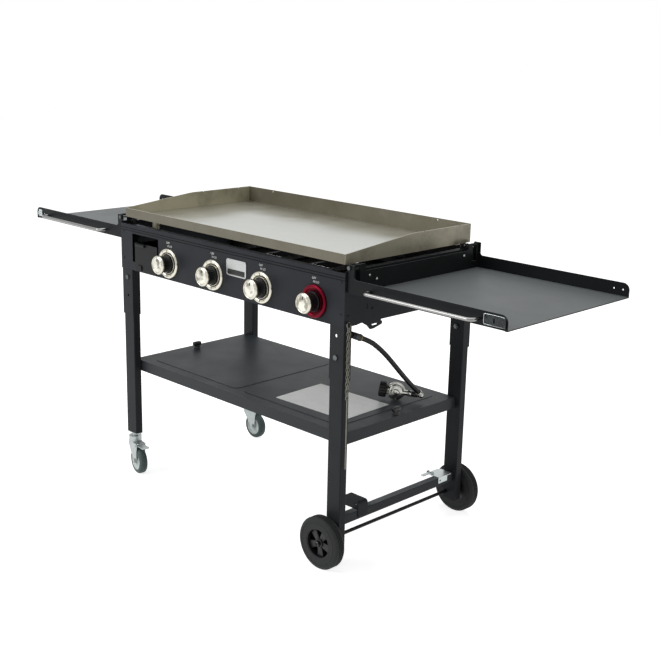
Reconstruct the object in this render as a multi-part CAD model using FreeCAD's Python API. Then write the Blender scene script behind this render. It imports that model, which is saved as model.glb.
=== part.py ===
import FreeCAD, Part
import math
import os

from FreeCAD import Vector

# Outdoor gas griddle station: a steel griddle plate on a firebox with four
# burners, two side shelves that fold over the plate, and a wheeled stand.
# Millimetres. X is the width, the control panel faces -Y, Z is up, and the
# origin is on the floor under the middle of the stand.

# Griddle plate
plate_width = 940.0
plate_depth = 502.0
plate_floor = 4.0
plate_wall = 3.0
plate_front_height = 26.0
plate_back_height = 52.0
plate_slope_end = 5.0
plate_gap = 14.5
notch_width = 7.0
notch_depth = 5.0
notch_places = (53.0, 201.0)
back_hole_radius = 2.5
back_hole_spacing = 700.0
drain_x = -350.0
drain_inset = 26.0
drain_radius = 9.0
drain_spout_wall = 2.0
drain_spout_length = 24.0
foot_bolt_radius = 4.0
foot_inset_x = 14.5
foot_inset_y = 40.0

# Firebox shell
firebox_width = 962.0
firebox_depth = 522.0
firebox_bottom = 667.0
front_panel_height = 140.0
side_panel_height = 145.0
rear_panel_height = 112.0
sheet = 1.5
panel_flange = 18.0
panel_foot_flange = 12.0
groove_width = 1.6
groove_depth = 0.7
groove_drops = (12.0, 19.0)
side_slot_inset = 82.5
side_slot_width = 2.5

# Knobs, valves and gas
knob_count = 4
knob_pitch = 205.0
knob_first_x = -242.0
knob_height = 50.0
knob_radius = 25.5
knob_projection = 45.0
knob_cap_radius = 28.0
knob_cap_thickness = 9.0
knob_travel = 3.0
knob_socket = 14.0
valve_bore_depth = 25.0
bezel_radius = 45.0
bezel_bore_radius = 28.0
bezel_thickness = 8.0
stem_radius = 4.0
running_gap = 0.05
manifold_radius = 10.0
manifold_clearance = 1.1
manifold_left = -266.0
manifold_right = 440.0
valve_width = 24.0
valve_height = 22.0
nozzle_radius = 3.0
burner_width = 56.0
burner_height = 26.0
burner_front = -150.0
burner_length = 366.0
venturi_radius = 12.0
venturi_wall = 1.5
venturi_length = 46.0
bearer_size = 20.0
bearer_wall = 2.0

# Control panel opening and grease cup
opening_inset = 58.0
opening_width = 130.0
opening_bottom_rise = 27.0
opening_height = 87.0
cup_width = 108.0
cup_depth = 104.0
cup_height = 60.0
cup_wall = 1.2
cup_face_height = 84.0
cup_gap = 0.3
badge_x = 64.5
badge_rise = 85.0
badge_width = 83.0
badge_height = 47.0
badge_thickness = 2.0

# Stand
leg_width = 48.0
leg_depth = 25.0
leg_wall = 1.5
sleeve_gap = 0.2
sleeve_drop = 145.0
sleeve_inside_height = 132.0
upper_pivot_drop = 26.0
pivot_hole_pitch = 58.0
pivot_inset = 28.0
leg_bolt_radius = 4.0
leg_above_pivot = 21.0
left_leg_bottom = 132.0
right_leg_bottom = 52.0
shelf_length = 922.0
shelf_depth = 463.0
shelf_top = 372.0
shelf_edge = 34.0
shelf_lip = 12.0
shelf_panel_rise = 1.0
shelf_panel_margin = 34.0
shelf_panel_end_margin = 48.0
shelf_rail_width = 20.0
shelf_rail_height = 25.0
latch_radius = 11.0
latch_height = 22.0
latch_setback_right = 11.5
latch_setback_left = 34.0
latch_y = -12.0
bottom_rail_width = 24.0
bottom_rail_height = 26.0
bottom_rail_z = 112.0
care_sheet_size = (265.0, 188.0)
care_sheet_thickness = 0.6
care_sheet_end_setback = 207.1
care_sheet_front_setback = 164.4
care_sheet_turn = 2.0
bracket_setback = 58.8
bracket_width = 36.0
bracket_reach = 61.8
bracket_rise = 25.0
bracket_drop = 17.0
bracket_sheet = 3.0
bracket_lip = 23.0
clamp_setback = 6.8
clamp_length = 58.0
clamp_overhang = 23.8
clamp_sheet = 1.8
clamp_drop = 16.0
clamp_pin_rise = 6.5
clamp_pin_radius = 1.5
clamp_lever_length = 37.0
clamp_lever_width = 12.0

# Wheels
wheel_radius = 73.0
wheel_width = 33.0
wheel_x = 442.0
wheel_gap = 10.0
axle_radius = 5.0
tyre_inner_radius = 41.0
spoke_count = 5
spoke_turn = 31.0
hub_recess = 7.0
hub_boss_radius = 13.0
caster_radius = 43.0
caster_width = 26.0
caster_tyre_thickness = 13.0
caster_trail = 27.0
caster_turn_front = -12.0
caster_fork_sheet = 2.5
caster_axle_radius = 4.0
caster_head_radius = 20.0
caster_neck_radius = 9.0
caster_neck_length = 12.0
caster_plug_length = 24.0
caster_king_radius = 5.0
caster_stem_height = 30.0
plug_gap = 0.3

# Side shelves, which fold over the plate as half lids
shelf_hinge_reach = 8.0
tray_bottom = 758.0
tray_sheet = 1.5
tray_rim = 36.0
tray_wall_height = 53.0
tray_ear_height = 72.0
tray_ear_length = 48.0
tray_side_inset = 6.5
tray_wall_offset = 8.5
tray_meeting_gap = 3.0
tray_stop_inset = 111.0
tray_front_holes = (63.5, 90.5)
tray_rear_hole = 65.5
tray_corner = 18.0
lid_clearance = 6.0
hinge_bolt_radius = 3.0
towel_bar_radius = 4.5
towel_bar_from = 75.5
towel_bar_setback = 78.5
towel_bar_reach = 31.0
towel_bar_rise = 16.0
hasp_width = 62.0
hasp_height = 26.0
hasp_sheet = 1.2
hasp_slot_reach = 30.0

# Gas hose from the manifold to the regulator on the bottom shelf
hose_radius = 7.0
ferrule_radius = 9.0
hose_route = (
    Vector(440.0, -154.0, 613.8),
    Vector(440.0, -118.0, 598.5),
    Vector(440.0, -86.0, 576.0),
    Vector(440.0, -50.0, 545.6),
    Vector(440.0, -9.0, 504.5),
    Vector(437.0, 35.0, 462.6),
    Vector(431.0, 75.0, 429.0),
    Vector(427.4, 102.4, 406.5),
)
hose_end_length = 27.0
regulator_x = 341.0
regulator_y = 62.0
regulator_turn = 35.0
regulator_tilt = 6.0
regulator_reach = 103.0
regulator_housing_place = 30.0
regulator_housing_radius = 26.0
handwheel_radius = 22.5

# Lighting rod on its chain
lighting_chain_length = 182.0
lighting_rod_length = 191.0
lighting_rod_radius = 1.6
lighting_ring_bore = 6.0
lighting_ring_small = 5.0
lighting_wire_radius = 1.25

# Values worked out from the driving dimensions
half_box = firebox_width / 2
half_box_y = firebox_depth / 2
tray_half_depth = half_box_y - tray_side_inset
opening_left = opening_inset - half_box
opening_right = opening_left + opening_width
shelf_hinge_x = half_box + shelf_hinge_reach
side_panel_top = firebox_bottom + side_panel_height
front_panel_top = firebox_bottom + front_panel_height
plate_bottom = side_panel_top + plate_gap
plate_top = plate_bottom + plate_back_height
leg_outer_x = half_box - 2 * sheet - sleeve_gap
leg_inner_x = leg_outer_x - leg_width
leg_outer_y = half_box_y - 2 * sheet - sleeve_gap
leg_inner_y = leg_outer_y - leg_depth
pivot_x = half_box - pivot_inset
upper_pivot_z = firebox_bottom - upper_pivot_drop
lower_pivot_z = upper_pivot_z - pivot_hole_pitch
knob_z = firebox_bottom + knob_height
manifold_y = -(leg_inner_y - sleeve_gap - sheet) + manifold_radius + manifold_clearance
manifold_z = knob_z - valve_height / 2 - manifold_radius
lid_pivot_z = (plate_top + lid_clearance + tray_bottom + tray_sheet) / 2
tray_outer_x = 2 * shelf_hinge_x - tray_meeting_gap / 2
tray_wall_x = shelf_hinge_x + tray_wall_offset
tray_start_x = half_box + 0.5
shelf_floor = shelf_top + shelf_panel_rise
knob_xs = [knob_first_x + i * knob_pitch for i in range(knob_count)]


def box(x0, x1, y0, y1, z0, z1):
    """Box between two corners."""
    return Part.makeBox(x1 - x0, y1 - y0, z1 - z0, Vector(x0, y0, z0))


def rod(start, end, radius):
    """Round bar between two points."""
    along = end - start
    return Part.makeCylinder(radius, along.Length, start, along)


def pipe(start, end, radius, bore):
    """Round tube between two points."""
    return rod(start, end, radius).cut(rod(start, end, bore))


def hexagon(start, end, radius):
    """Six-sided bar between two points, radius to its corners."""
    along = end - start
    face = Part.Face(Part.makePolygon([Vector(radius * math.cos(a), radius * math.sin(a), 0)
                                       for a in [i * math.pi / 3 for i in range(7)]]))
    bar = face.extrude(Vector(0, 0, along.Length))
    turn = FreeCAD.Rotation(Vector(0, 0, 1), along)
    bar.Placement = FreeCAD.Placement(start, turn)
    return bar


def rounded_path(points, radii, closed=False):
    """Wire of straight runs joined by tangent arcs, one radius per corner."""
    count = len(points)
    edges = []
    leave = None if closed else points[0]
    first = None
    corners = range(count) if closed else range(1, count - 1)
    for i in corners:
        here = points[i]
        back = (points[i - 1] - here).normalize()
        ahead = (points[(i + 1) % count] - here).normalize()
        half = back.getAngle(ahead) / 2
        radius = radii[i]
        if radius <= 0:
            arrive, depart, arc = here, here, None
        else:
            reach = radius / math.tan(half)
            arrive = here + back * reach
            depart = here + ahead * reach
            inward = (back + ahead).normalize()
            middle = here + inward * (radius / math.sin(half) - radius)
            arc = Part.Arc(arrive, middle, depart).toShape()
        if leave is None:
            first = arrive
        elif (arrive - leave).Length > 1e-6:
            edges.append(Part.LineSegment(leave, arrive).toShape())
        if arc is not None:
            edges.append(arc)
        leave = depart
    last = first if closed else points[-1]
    if (last - leave).Length > 1e-6:
        edges.append(Part.LineSegment(leave, last).toShape())
    return Part.Wire(edges)


def sheet_along_y(outline, radii, y0, y1):
    """Flat sheet with an outline in X and Z, between two Y values."""
    wire = rounded_path([Vector(x, y0, z) for x, z in outline], radii, closed=True)
    return Part.Face(wire).extrude(Vector(0, y1 - y0, 0))


def sheet_along_x(outline, radii, x0, x1):
    """Flat sheet with an outline in Y and Z, between two X values."""
    wire = rounded_path([Vector(x0, y, z) for y, z in outline], radii, closed=True)
    return Part.Face(wire).extrude(Vector(x1 - x0, 0, 0))


def sheet_along_z(outline, radii, z0, z1):
    """Flat sheet with an outline in X and Y, between two Z values."""
    wire = rounded_path([Vector(x, y, z0) for x, y in outline], radii, closed=True)
    return Part.Face(wire).extrude(Vector(0, 0, z1 - z0))


def rounded_block(x0, x1, y0, y1, z0, z1, radius, axis):
    """Box whose four edges along one axis are rounded."""
    if axis == "x":
        return sheet_along_x(((y0, z0), (y1, z0), (y1, z1), (y0, z1)), [radius] * 4, x0, x1)
    if axis == "y":
        return sheet_along_y(((x0, z0), (x1, z0), (x1, z1), (x0, z1)), [radius] * 4, y0, y1)
    return sheet_along_z(((x0, y0), (x1, y0), (x1, y1), (x0, y1)), [radius] * 4, z0, z1)


def turned(profile, radii, centre):
    """Solid turned about a line along Y, from (y, radius) points. Its seam is at the bottom."""
    points = [Vector(centre.x, centre.y + y, centre.z - r) for y, r in profile]
    face = Part.Face(rounded_path(points, radii, closed=True))
    return face.revolve(centre, Vector(0, 1, 0), 360)


def swept_rod(points, radii, radius):
    """Round bar along runs and arcs."""
    path = rounded_path(points, radii)
    direction = points[1] - points[0]
    profile = Part.Wire(Part.makeCircle(radius, points[0], direction))
    return path.makePipeShell([profile], True, False)


def fused(shapes):
    """One solid from touching shapes, with its seams removed."""
    whole = shapes[0].fuse(shapes[1:])
    return whole.removeSplitter()


def mirror_x(shape):
    """Copy on the other side of the middle plane."""
    return shape.mirror(Vector(0, 0, 0), Vector(1, 0, 0))


def mirror_y(shape):
    """Copy at the other end, front to rear."""
    return shape.mirror(Vector(0, 0, 0), Vector(0, 1, 0))


def solids(shape):
    """List of the solids in a shape."""
    return list(shape.Solids)


def save(name, shapes):
    """Write one node to its STEP file."""
    parts = []
    for shape in shapes:
        parts += solids(shape)
    whole = parts[0] if len(parts) == 1 else Part.makeCompound(parts)
    if not whole.isValid():
        print("not valid:", name)
    whole.exportStep("parts/" + name + ".step")


def build_griddle_plate():
    """Cooking plate with a low front wall, a high back wall and sloped sides."""
    half_x = plate_width / 2
    half_y = plate_depth / 2
    floor = box(-half_x, half_x, -half_y, half_y, plate_bottom, plate_bottom + plate_floor)
    front = box(-half_x, half_x, -half_y, -half_y + plate_wall,
                plate_bottom, plate_bottom + plate_front_height)
    back = box(-half_x, half_x, half_y - plate_wall, half_y, plate_bottom, plate_top)
    low = plate_bottom + plate_front_height
    rise_run = plate_slope_end + half_y
    outline = ((-half_y, plate_bottom), (half_y, plate_bottom), (half_y, plate_top),
               (plate_slope_end, plate_top), (-half_y, low))
    side = sheet_along_x(outline, [0, 0, 0, 1.2 * rise_run, 0], half_x - plate_wall, half_x)
    for place in notch_places:
        mouth = (place - notch_width / 2, plate_top + 1.0)
        far = (place + notch_width / 2, plate_top + 1.0)
        point = (place, plate_top - notch_depth)
        side = side.cut(sheet_along_x((mouth, point, far), [0, 0, 0], 0, half_x + 1))
    plate = fused([floor, front, back, side, mirror_x(side)])
    corners = [e for e in plate.Edges if abs(e.Vertexes[0].X) > half_x - 0.01
               and abs(abs(e.Vertexes[0].Y) - half_y) < 0.01
               and abs(e.Vertexes[0].Z - e.Vertexes[-1].Z) > plate_front_height / 2
               and abs(e.Vertexes[0].X - e.Vertexes[-1].X) < 0.01
               and abs(e.Vertexes[0].Y - e.Vertexes[-1].Y) < 0.01]
    plate = plate.makeFillet(plate_wall * 0.8, corners)
    for side_sign in (-1, 1):
        x = side_sign * back_hole_spacing / 2
        z = plate_top - 2 * back_hole_radius
        plate = plate.cut(rod(Vector(x, half_y - 20, z), Vector(x, half_y + 1, z), back_hole_radius))
    drain_y = -half_y + drain_inset
    spout = rod(Vector(drain_x, drain_y, plate_bottom - drain_spout_length),
                Vector(drain_x, drain_y, plate_bottom + plate_floor / 2), drain_radius + drain_spout_wall)
    plate = plate.fuse(spout)
    return plate.cut(rod(Vector(drain_x, drain_y, plate_bottom - drain_spout_length - 1),
                         Vector(drain_x, drain_y, plate_bottom + plate_floor + 1), drain_radius))


def build_plate_feet():
    """Levelling screws with their nuts, one at each corner of the firebox."""
    feet = []
    for side_sign in (-1, 1):
        for end in (-1, 1):
            x = side_sign * (half_box - foot_inset_x)
            y = end * (half_box_y - foot_inset_y)
            screw = rod(Vector(x, y, side_panel_top - 14), Vector(x, y, plate_bottom - 4), foot_bolt_radius)
            pad = rod(Vector(x, y, plate_bottom - 4), Vector(x, y, plate_bottom), 9.0)
            nut = hexagon(Vector(x, y, side_panel_top), Vector(x, y, side_panel_top + 6), 8.0)
            feet.append(fused([screw, pad, nut]))
    return feet


def build_front_panel():
    """Control panel sheet with its flanges, knob holes, side opening and cup runners."""
    y0 = -half_box_y
    y1 = y0 + sheet
    face = box(-half_box, half_box, y0, y1, firebox_bottom, front_panel_top)
    inner_half = half_box - sheet
    top = box(-inner_half + 55, inner_half - 55, y1, y1 + panel_flange,
              front_panel_top - sheet, front_panel_top)
    foot = box(-inner_half + 55, inner_half - 55, y1, y1 + panel_foot_flange,
               firebox_bottom, firebox_bottom + sheet)
    opening_bottom = firebox_bottom + opening_bottom_rise
    runners = []
    middle = cup_middle_x()
    for side_sign in (-1, 1):
        x = middle + side_sign * (cup_width / 2 - 6)
        runners.append(box(x - 5, x + 5, y1, y1 + cup_depth, opening_bottom - sheet, opening_bottom))
        outer = middle + side_sign * (cup_width / 2 + cup_gap)
        low_x, high_x = sorted((outer, outer + side_sign * sheet))
        runners.append(box(low_x, high_x, y1, y1 + cup_depth, opening_bottom - sheet, opening_bottom + 14))
        near, far = sorted((x - side_sign * 5, outer + side_sign * sheet))
        runners.append(box(near, far, y1, y1 + cup_depth, opening_bottom - sheet, opening_bottom))
    panel = fused([face, top, foot] + runners)
    for drop in groove_drops:
        z = front_panel_top - drop
        panel = panel.cut(box(-half_box + 50, half_box - 12, y0 - 1, y0 + groove_depth,
                              z - groove_width / 2, z + groove_width / 2))
    panel = panel.cut(box(opening_left, opening_right, y0 - 1, y1 + 0.001,
                          opening_bottom, opening_bottom + opening_height))
    for x in knob_xs:
        panel = panel.cut(rod(Vector(x, y0 - 1, knob_z), Vector(x, y1 + 1, knob_z), stem_radius + 2))
    return panel


def cup_middle_x():
    """Middle of the grease cup, against the right end of the opening."""
    return opening_right - cup_width / 2 - 3.0


def build_grease_cup():
    """Open box that slides into the control panel, with a face plate and a rolled lip."""
    middle = cup_middle_x()
    x0, x1 = middle - cup_width / 2, middle + cup_width / 2
    y0 = -half_box_y - sheet - cup_gap
    y1 = y0 + cup_depth
    z0 = firebox_bottom + opening_bottom_rise
    z1 = z0 + cup_height
    outer = box(x0, x1, y0, y1, z0, z1)
    cup = outer.cut(box(x0 + cup_wall, x1 - cup_wall, y0 + cup_wall, y1 - cup_wall, z0 + cup_wall, z1 + 1))
    face_bottom = z1 - cup_face_height
    face = rounded_block(x0 - 2, x1 + 1, y0 - sheet, y0, face_bottom, z1 + 2, 3.0, "y")
    lip = rod(Vector(x0 + 6, y0 - 4, z1 - 3), Vector(x0 + 50, y0 - 4, z1 - 3), 4.0)
    catch = rounded_block(x0 + 12, x0 + 32, y0 - sheet - 3, y0 - sheet, face_bottom + 3, face_bottom + 19,
                          2.0, "y")
    return fused([cup, face, lip, catch])


def side_panel_outline():
    """Lower edge of the side panel, with an arch behind each leg and a tank tab."""
    b = firebox_bottom
    end = half_box_y - sheet
    return ((-end, b), (-215.0, b), (-195.0, b + 3), (-176.0, b - 8), (-164.0, b - 20), (-150.0, b - 20),
            (-118.0, b - 12), (-118.0, b - 4), (-136.0, b + 1), (end, b),
            (end, side_panel_top), (-end, side_panel_top))


def build_side_panel():
    """Right side sheet of the firebox with its top flange and the shelf hinge tabs."""
    outline = side_panel_outline()
    radii = [0, 6, 8, 8, 4, 8, 3, 3, 2, 0, 0, 0]
    face = sheet_along_x(outline, radii, half_box - sheet, half_box)
    end = half_box_y - sheet
    flange = box(half_box - panel_flange - sheet, half_box - sheet, -leg_inner_y + 4, leg_inner_y - 4,
                 side_panel_top - sheet, side_panel_top)
    panel = fused([face, flange])
    slot_z = firebox_bottom - 9
    slot = rounded_block(half_box - 5, half_box + 5, -158, -138, slot_z - 2, slot_z + 2, 1.9, "x")
    panel = panel.cut(slot)
    slot_y = side_slot_inset - half_box_y
    panel = panel.cut(rounded_block(half_box - 5, half_box + 5, slot_y, slot_y + side_slot_width,
                                    firebox_bottom + 36, firebox_bottom + 52, 1.2, "x"))
    for end_sign in (-1, 1):
        y = end_sign * (half_box_y - foot_inset_y)
        low = Vector(half_box - foot_inset_x, y, side_panel_top - 5)
        panel = panel.cut(rod(low, low + Vector(0, 0, 10), foot_bolt_radius + 0.1))
    tabs = []
    for inner, outer in hinge_tab_places():
        tab = build_hinge_tab(inner, outer)
        tabs += [tab, mirror_y(tab)]
    stop_y = half_box_y - tray_stop_inset
    for y in (-stop_y, stop_y):
        tabs.append(box(half_box, tray_wall_x - 0.2, y - 12, y + 12, tray_bottom + 8, tray_bottom + 10))
    tabs.append(rod(Vector(half_box, lighting_rod_y(), lighting_pin_z()),
                    Vector(half_box + 10, lighting_rod_y(), lighting_pin_z()), 1.5))
    tabs.append(rod(Vector(half_box + 9, lighting_rod_y(), lighting_pin_z()),
                    Vector(half_box + 10, lighting_rod_y(), lighting_pin_z()), 3.2))
    return fused([panel] + tabs)


def hinge_tab_places():
    """Y ranges of the two hinge tabs at one end, seen on the rear end."""
    rim_inside = tray_half_depth - tray_sheet
    outer_tab = rim_inside - 0.2
    inner_tab = tray_half_depth - tray_ear_length + 8.0
    return ((outer_tab - 2.0, outer_tab), (inner_tab - 2.0, inner_tab))


def build_hinge_tab(y0, y1):
    """Tab on the side panel with a round end about the shelf's hinge line."""
    x0 = half_box
    reach = tray_wall_offset - 0.5
    foot = side_panel_top - 14
    strap = box(x0, shelf_hinge_x, y0, y1, foot, lid_pivot_z)
    round_end = rod(Vector(shelf_hinge_x, y0, lid_pivot_z), Vector(shelf_hinge_x, y1, lid_pivot_z), reach)
    return fused([strap, round_end]).cut(rod(Vector(shelf_hinge_x, y0 - 1, lid_pivot_z),
                                             Vector(shelf_hinge_x, y1 + 1, lid_pivot_z),
                                             hinge_bolt_radius + running_gap))


def build_rear_panel():
    """Rear sheet of the firebox with a row of vent slots."""
    y1 = half_box_y
    y0 = y1 - sheet
    z1 = side_panel_top
    z0 = z1 - rear_panel_height
    face = box(-half_box, half_box, y0, y1, z0, z1)
    inner_half = half_box - sheet - 52
    flange = box(-inner_half, inner_half, y0 - panel_flange, y0, z1 - sheet, z1)
    foot = box(-inner_half, inner_half, y0 - panel_foot_flange, y0, z0, z0 + sheet)
    panel = fused([face, flange, foot])
    slot_count = 10
    pitch = 80.0
    for i in range(slot_count):
        x = (i - (slot_count - 1) / 2) * pitch
        panel = panel.cut(rounded_block(x - 24, x + 24, y0 - 1, y1 + 1, z0 + 40, z0 + 50, 4.9, "y"))
    return panel


def build_burners():
    """Bar burners with a round inlet, port rows and an igniter electrode each."""
    burners = []
    z = knob_z
    for x in knob_xs:
        y0, y1 = burner_front, burner_front + burner_length
        body = rounded_block(x - burner_width / 2, x + burner_width / 2, y0, y1,
                             z - burner_height / 2, z + burner_height / 2, 8.0, "y")
        inlet = rod(Vector(x, y0 - venturi_length, z), Vector(x, y0 + 5, z), venturi_radius)
        burner = fused([body, inlet])
        mouth = Vector(x, y0 - venturi_length - 1, z)
        bore = rod(mouth, Vector(x, y0 - 5, z), venturi_radius - venturi_wall)
        burner = burner.cut(bore)
        for port_x in (x - burner_width / 2, x + burner_width / 2):
            groove = box(port_x - 1.0, port_x + 1.0, y0 + 20, y1 - 20, z + 1, z + 3)
            burner = burner.cut(groove)
        burners.append(burner)
        electrode_x = x + burner_width / 2 + 5
        top = z + burner_height / 2 + 8
        stick = rod(Vector(electrode_x, y0 + 24, z - 12), Vector(electrode_x, y0 + 24, top), 3.0)
        clip = box(x + burner_width / 2, electrode_x, y0 + 20, y0 + 28, z - 10, z - 8)
        burners.append(fused([stick, clip]))
    return burners


def build_burner_bearers():
    """Two angle rails across the firebox that the burners rest on."""
    top = knob_z - burner_height / 2
    inner = half_box - sheet
    bearers = []
    for y in (burner_front + 14, burner_front + burner_length - 40):
        rail = box(-inner, inner, y, y + bearer_size, top - bearer_size, top)
        cut = box(-inner - 1, inner + 1, y + bearer_wall, y + bearer_size + 1,
                  top - bearer_size - 1, top - bearer_wall)
        bearers.append(rail.cut(cut))
    return bearers


def build_manifold():
    """Gas pipe behind the panel, with its elbow, outlet fitting and hose ferrule."""
    y, z = manifold_y, manifold_z
    main = rod(Vector(manifold_left, y, z), Vector(manifold_right, y, z), manifold_radius)
    plug = hexagon(Vector(manifold_left - 10, y, z), Vector(manifold_left, y, z), 9.0)
    knee = Part.makeSphere(manifold_radius, Vector(manifold_right, y, z))
    start = hose_route[0]
    towards = (hose_route[1] - start).normalize()
    drop_end = start - towards * ((start.y - y) / towards.y)
    drop = rod(Vector(manifold_right, y, z), drop_end, 8.0)
    elbow = Part.makeSphere(9.5, drop_end)
    crimp = start - towards * hose_end_length
    ferrule = rod(crimp, start, ferrule_radius)
    shank = rod(drop_end, crimp + towards * 3, 6.0)
    collar = hexagon(crimp - towards * 12, crimp, 10.0)
    bosses = [rod(Vector(x, y, z), Vector(x, y, z + manifold_radius), 7.0) for x in knob_xs]
    return fused([main, plug, knee, drop, elbow, shank, ferrule, collar] + bosses)


def valve_front():
    """Y of a valve's front face, against the inside of the control panel."""
    return -half_box_y + sheet


def build_valves():
    """Gas valve on the manifold for each knob."""
    valves = []
    y0 = valve_front()
    y1 = manifold_y + 10
    for x in knob_xs:
        flange = rounded_block(x - 17, x + 17, y0, y0 + 3, knob_z - 8, knob_z + 8, 3.0, "y")
        body = box(x - valve_width / 2, x + valve_width / 2, y0 + 9, y1,
                   knob_z - valve_height / 2, knob_z + valve_height / 2)
        neck = rod(Vector(x, y0, knob_z), Vector(x, y0 + 9, knob_z), 9.0)
        tip = burner_front - venturi_length + 6
        nozzle = rod(Vector(x, y1, knob_z), Vector(x, tip, knob_z), nozzle_radius + 2)
        valve = fused([flange, body, neck, nozzle])
        bore_end = y0 + valve_bore_depth
        bore = rod(Vector(x, y0 - 1, knob_z), Vector(x, bore_end, knob_z), stem_radius + running_gap)
        valve = valve.cut(bore)
        valves.append(valve)
    return valves


def knob_back():
    """Y of the back of a knob, clear of the panel when it is pressed."""
    return -half_box_y - 5.0


def build_valve_stem(x):
    """Spindle between a valve and its knob, pressed in before turning."""
    inner = valve_front() + valve_bore_depth - knob_travel - 1.0
    outer = knob_back() - knob_socket + 0.5
    return rod(Vector(x, inner, knob_z), Vector(x, outer, knob_z), stem_radius)


def build_knob(x):
    """Ribbed knob body with its domed plated cap."""
    back = knob_back()
    front = -half_box_y - knob_projection + knob_cap_thickness
    outer = rod(Vector(x, back, knob_z), Vector(x, front, knob_z), knob_radius)
    skirt = rod(Vector(x, back, knob_z), Vector(x, back - 5, knob_z), knob_radius + 1.0)
    body = fused([outer, skirt])
    rib_count = 24
    for i in range(rib_count):
        angle = 2 * math.pi * i / rib_count
        cx = x + (knob_radius + 0.8) * math.cos(angle)
        cz = knob_z + (knob_radius + 0.8) * math.sin(angle)
        body = body.cut(rod(Vector(cx, back - 7, cz), Vector(cx, front - 1, cz), 1.4))
    body = body.cut(rod(Vector(x, back + 1, knob_z), Vector(x, back - knob_socket, knob_z),
                        stem_radius + running_gap))
    y_front = -half_box_y - knob_projection
    disc = rod(Vector(x, front, knob_z), Vector(x, y_front, knob_z), knob_cap_radius)
    edges = [e for e in disc.Edges if abs(e.BoundBox.YMin - y_front) < 0.01
             and abs(e.BoundBox.YMax - y_front) < 0.01]
    return [body, disc.makeFillet(knob_cap_thickness * 0.55, edges)]


def build_bezel(x):
    """Plated ring round a knob on the panel."""
    y_panel = -half_box_y
    outer = rod(Vector(x, y_panel, knob_z), Vector(x, y_panel - bezel_thickness, knob_z), bezel_radius)
    edges = [e for e in outer.Edges if abs(e.BoundBox.YMax - (y_panel - bezel_thickness)) < 0.01]
    outer = outer.makeFillet(bezel_thickness * 0.7, edges)
    return outer.cut(rod(Vector(x, y_panel + 1, knob_z), Vector(x, y_panel - bezel_thickness - 1, knob_z),
                         bezel_bore_radius))


def build_badge():
    """Blank plate on the control panel."""
    y_panel = -half_box_y
    z = firebox_bottom + badge_rise
    x0 = badge_x - badge_width / 2
    x1 = badge_x + badge_width / 2
    z0 = z - badge_height / 2
    return rounded_block(x0, x1, y_panel - badge_thickness, y_panel, z0, z0 + badge_height, 7.0, "y")


def build_sleeve():
    """Right rear leg socket, a channel that is open towards the middle."""
    x1 = half_box - sheet
    x0 = leg_inner_x - sleeve_gap
    y1 = half_box_y - sheet
    y0 = leg_inner_y - sleeve_gap - sheet
    z0 = firebox_bottom - sleeve_drop
    z1 = firebox_bottom + sleeve_inside_height
    channel = box(x0, x1, y0, y1, z0, z1)
    channel = channel.cut(box(x0 - 1, x1 - sheet, y0 + sheet, y1 - sheet, z0 - 1, z1 + 1))
    for z in (upper_pivot_z, lower_pivot_z):
        hole = rod(Vector(pivot_x, y0 - 1, z), Vector(pivot_x, y1 + 1, z), leg_bolt_radius + 0.1)
        channel = channel.cut(hole)
    return channel


def build_leg(top, bottom):
    """Right rear leg, a rectangular tube."""
    tube = rounded_block(leg_inner_x, leg_outer_x, leg_inner_y, leg_outer_y, bottom, top, 2.5, "z")
    bore = rounded_block(leg_inner_x + leg_wall, leg_outer_x - leg_wall, leg_inner_y + leg_wall,
                         leg_outer_y - leg_wall, bottom - 1, top + 1, 1.5, "z")
    return tube.cut(bore)


def build_left_leg():
    """Rear leg of the caster end, as if on the right."""
    leg = build_leg(upper_pivot_z + leg_above_pivot, left_leg_bottom)
    for z in (upper_pivot_z, lower_pivot_z):
        leg = leg.cut(rod(Vector(pivot_x, 0, z), Vector(pivot_x, half_box_y, z), leg_bolt_radius + 0.1))
    return leg


def build_right_leg():
    """Rear leg of the wheel end."""
    leg = build_leg(lower_pivot_z + leg_above_pivot, right_leg_bottom)
    leg = leg.cut(rod(Vector(pivot_x, 0, lower_pivot_z), Vector(pivot_x, half_box_y, lower_pivot_z),
                      leg_bolt_radius + 0.1))
    return leg.cut(rod(Vector(wheel_x, 0, wheel_radius), Vector(wheel_x, half_box_y, wheel_radius),
                       axle_radius + 0.1))


def build_leg_bolts():
    """Pivot bolts of the legs, the higher hole on the left and the lower on the right."""
    bolts = []
    y_head = half_box_y - sheet
    y_nut = leg_inner_y - sleeve_gap - sheet
    for side_sign, z in ((-1, upper_pivot_z), (1, lower_pivot_z)):
        x = side_sign * pivot_x
        shank = rod(Vector(x, y_nut - 8, z), Vector(x, y_head, z), leg_bolt_radius)
        head = rod(Vector(x, y_head, z), Vector(x, y_head + 3.5, z), 7.0)
        nut = hexagon(Vector(x, y_nut - 6, z), Vector(x, y_nut, z), 7.5)
        bolt = fused([shank, head, nut])
        bolts += [bolt, mirror_y(bolt)]
    return bolts


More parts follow.
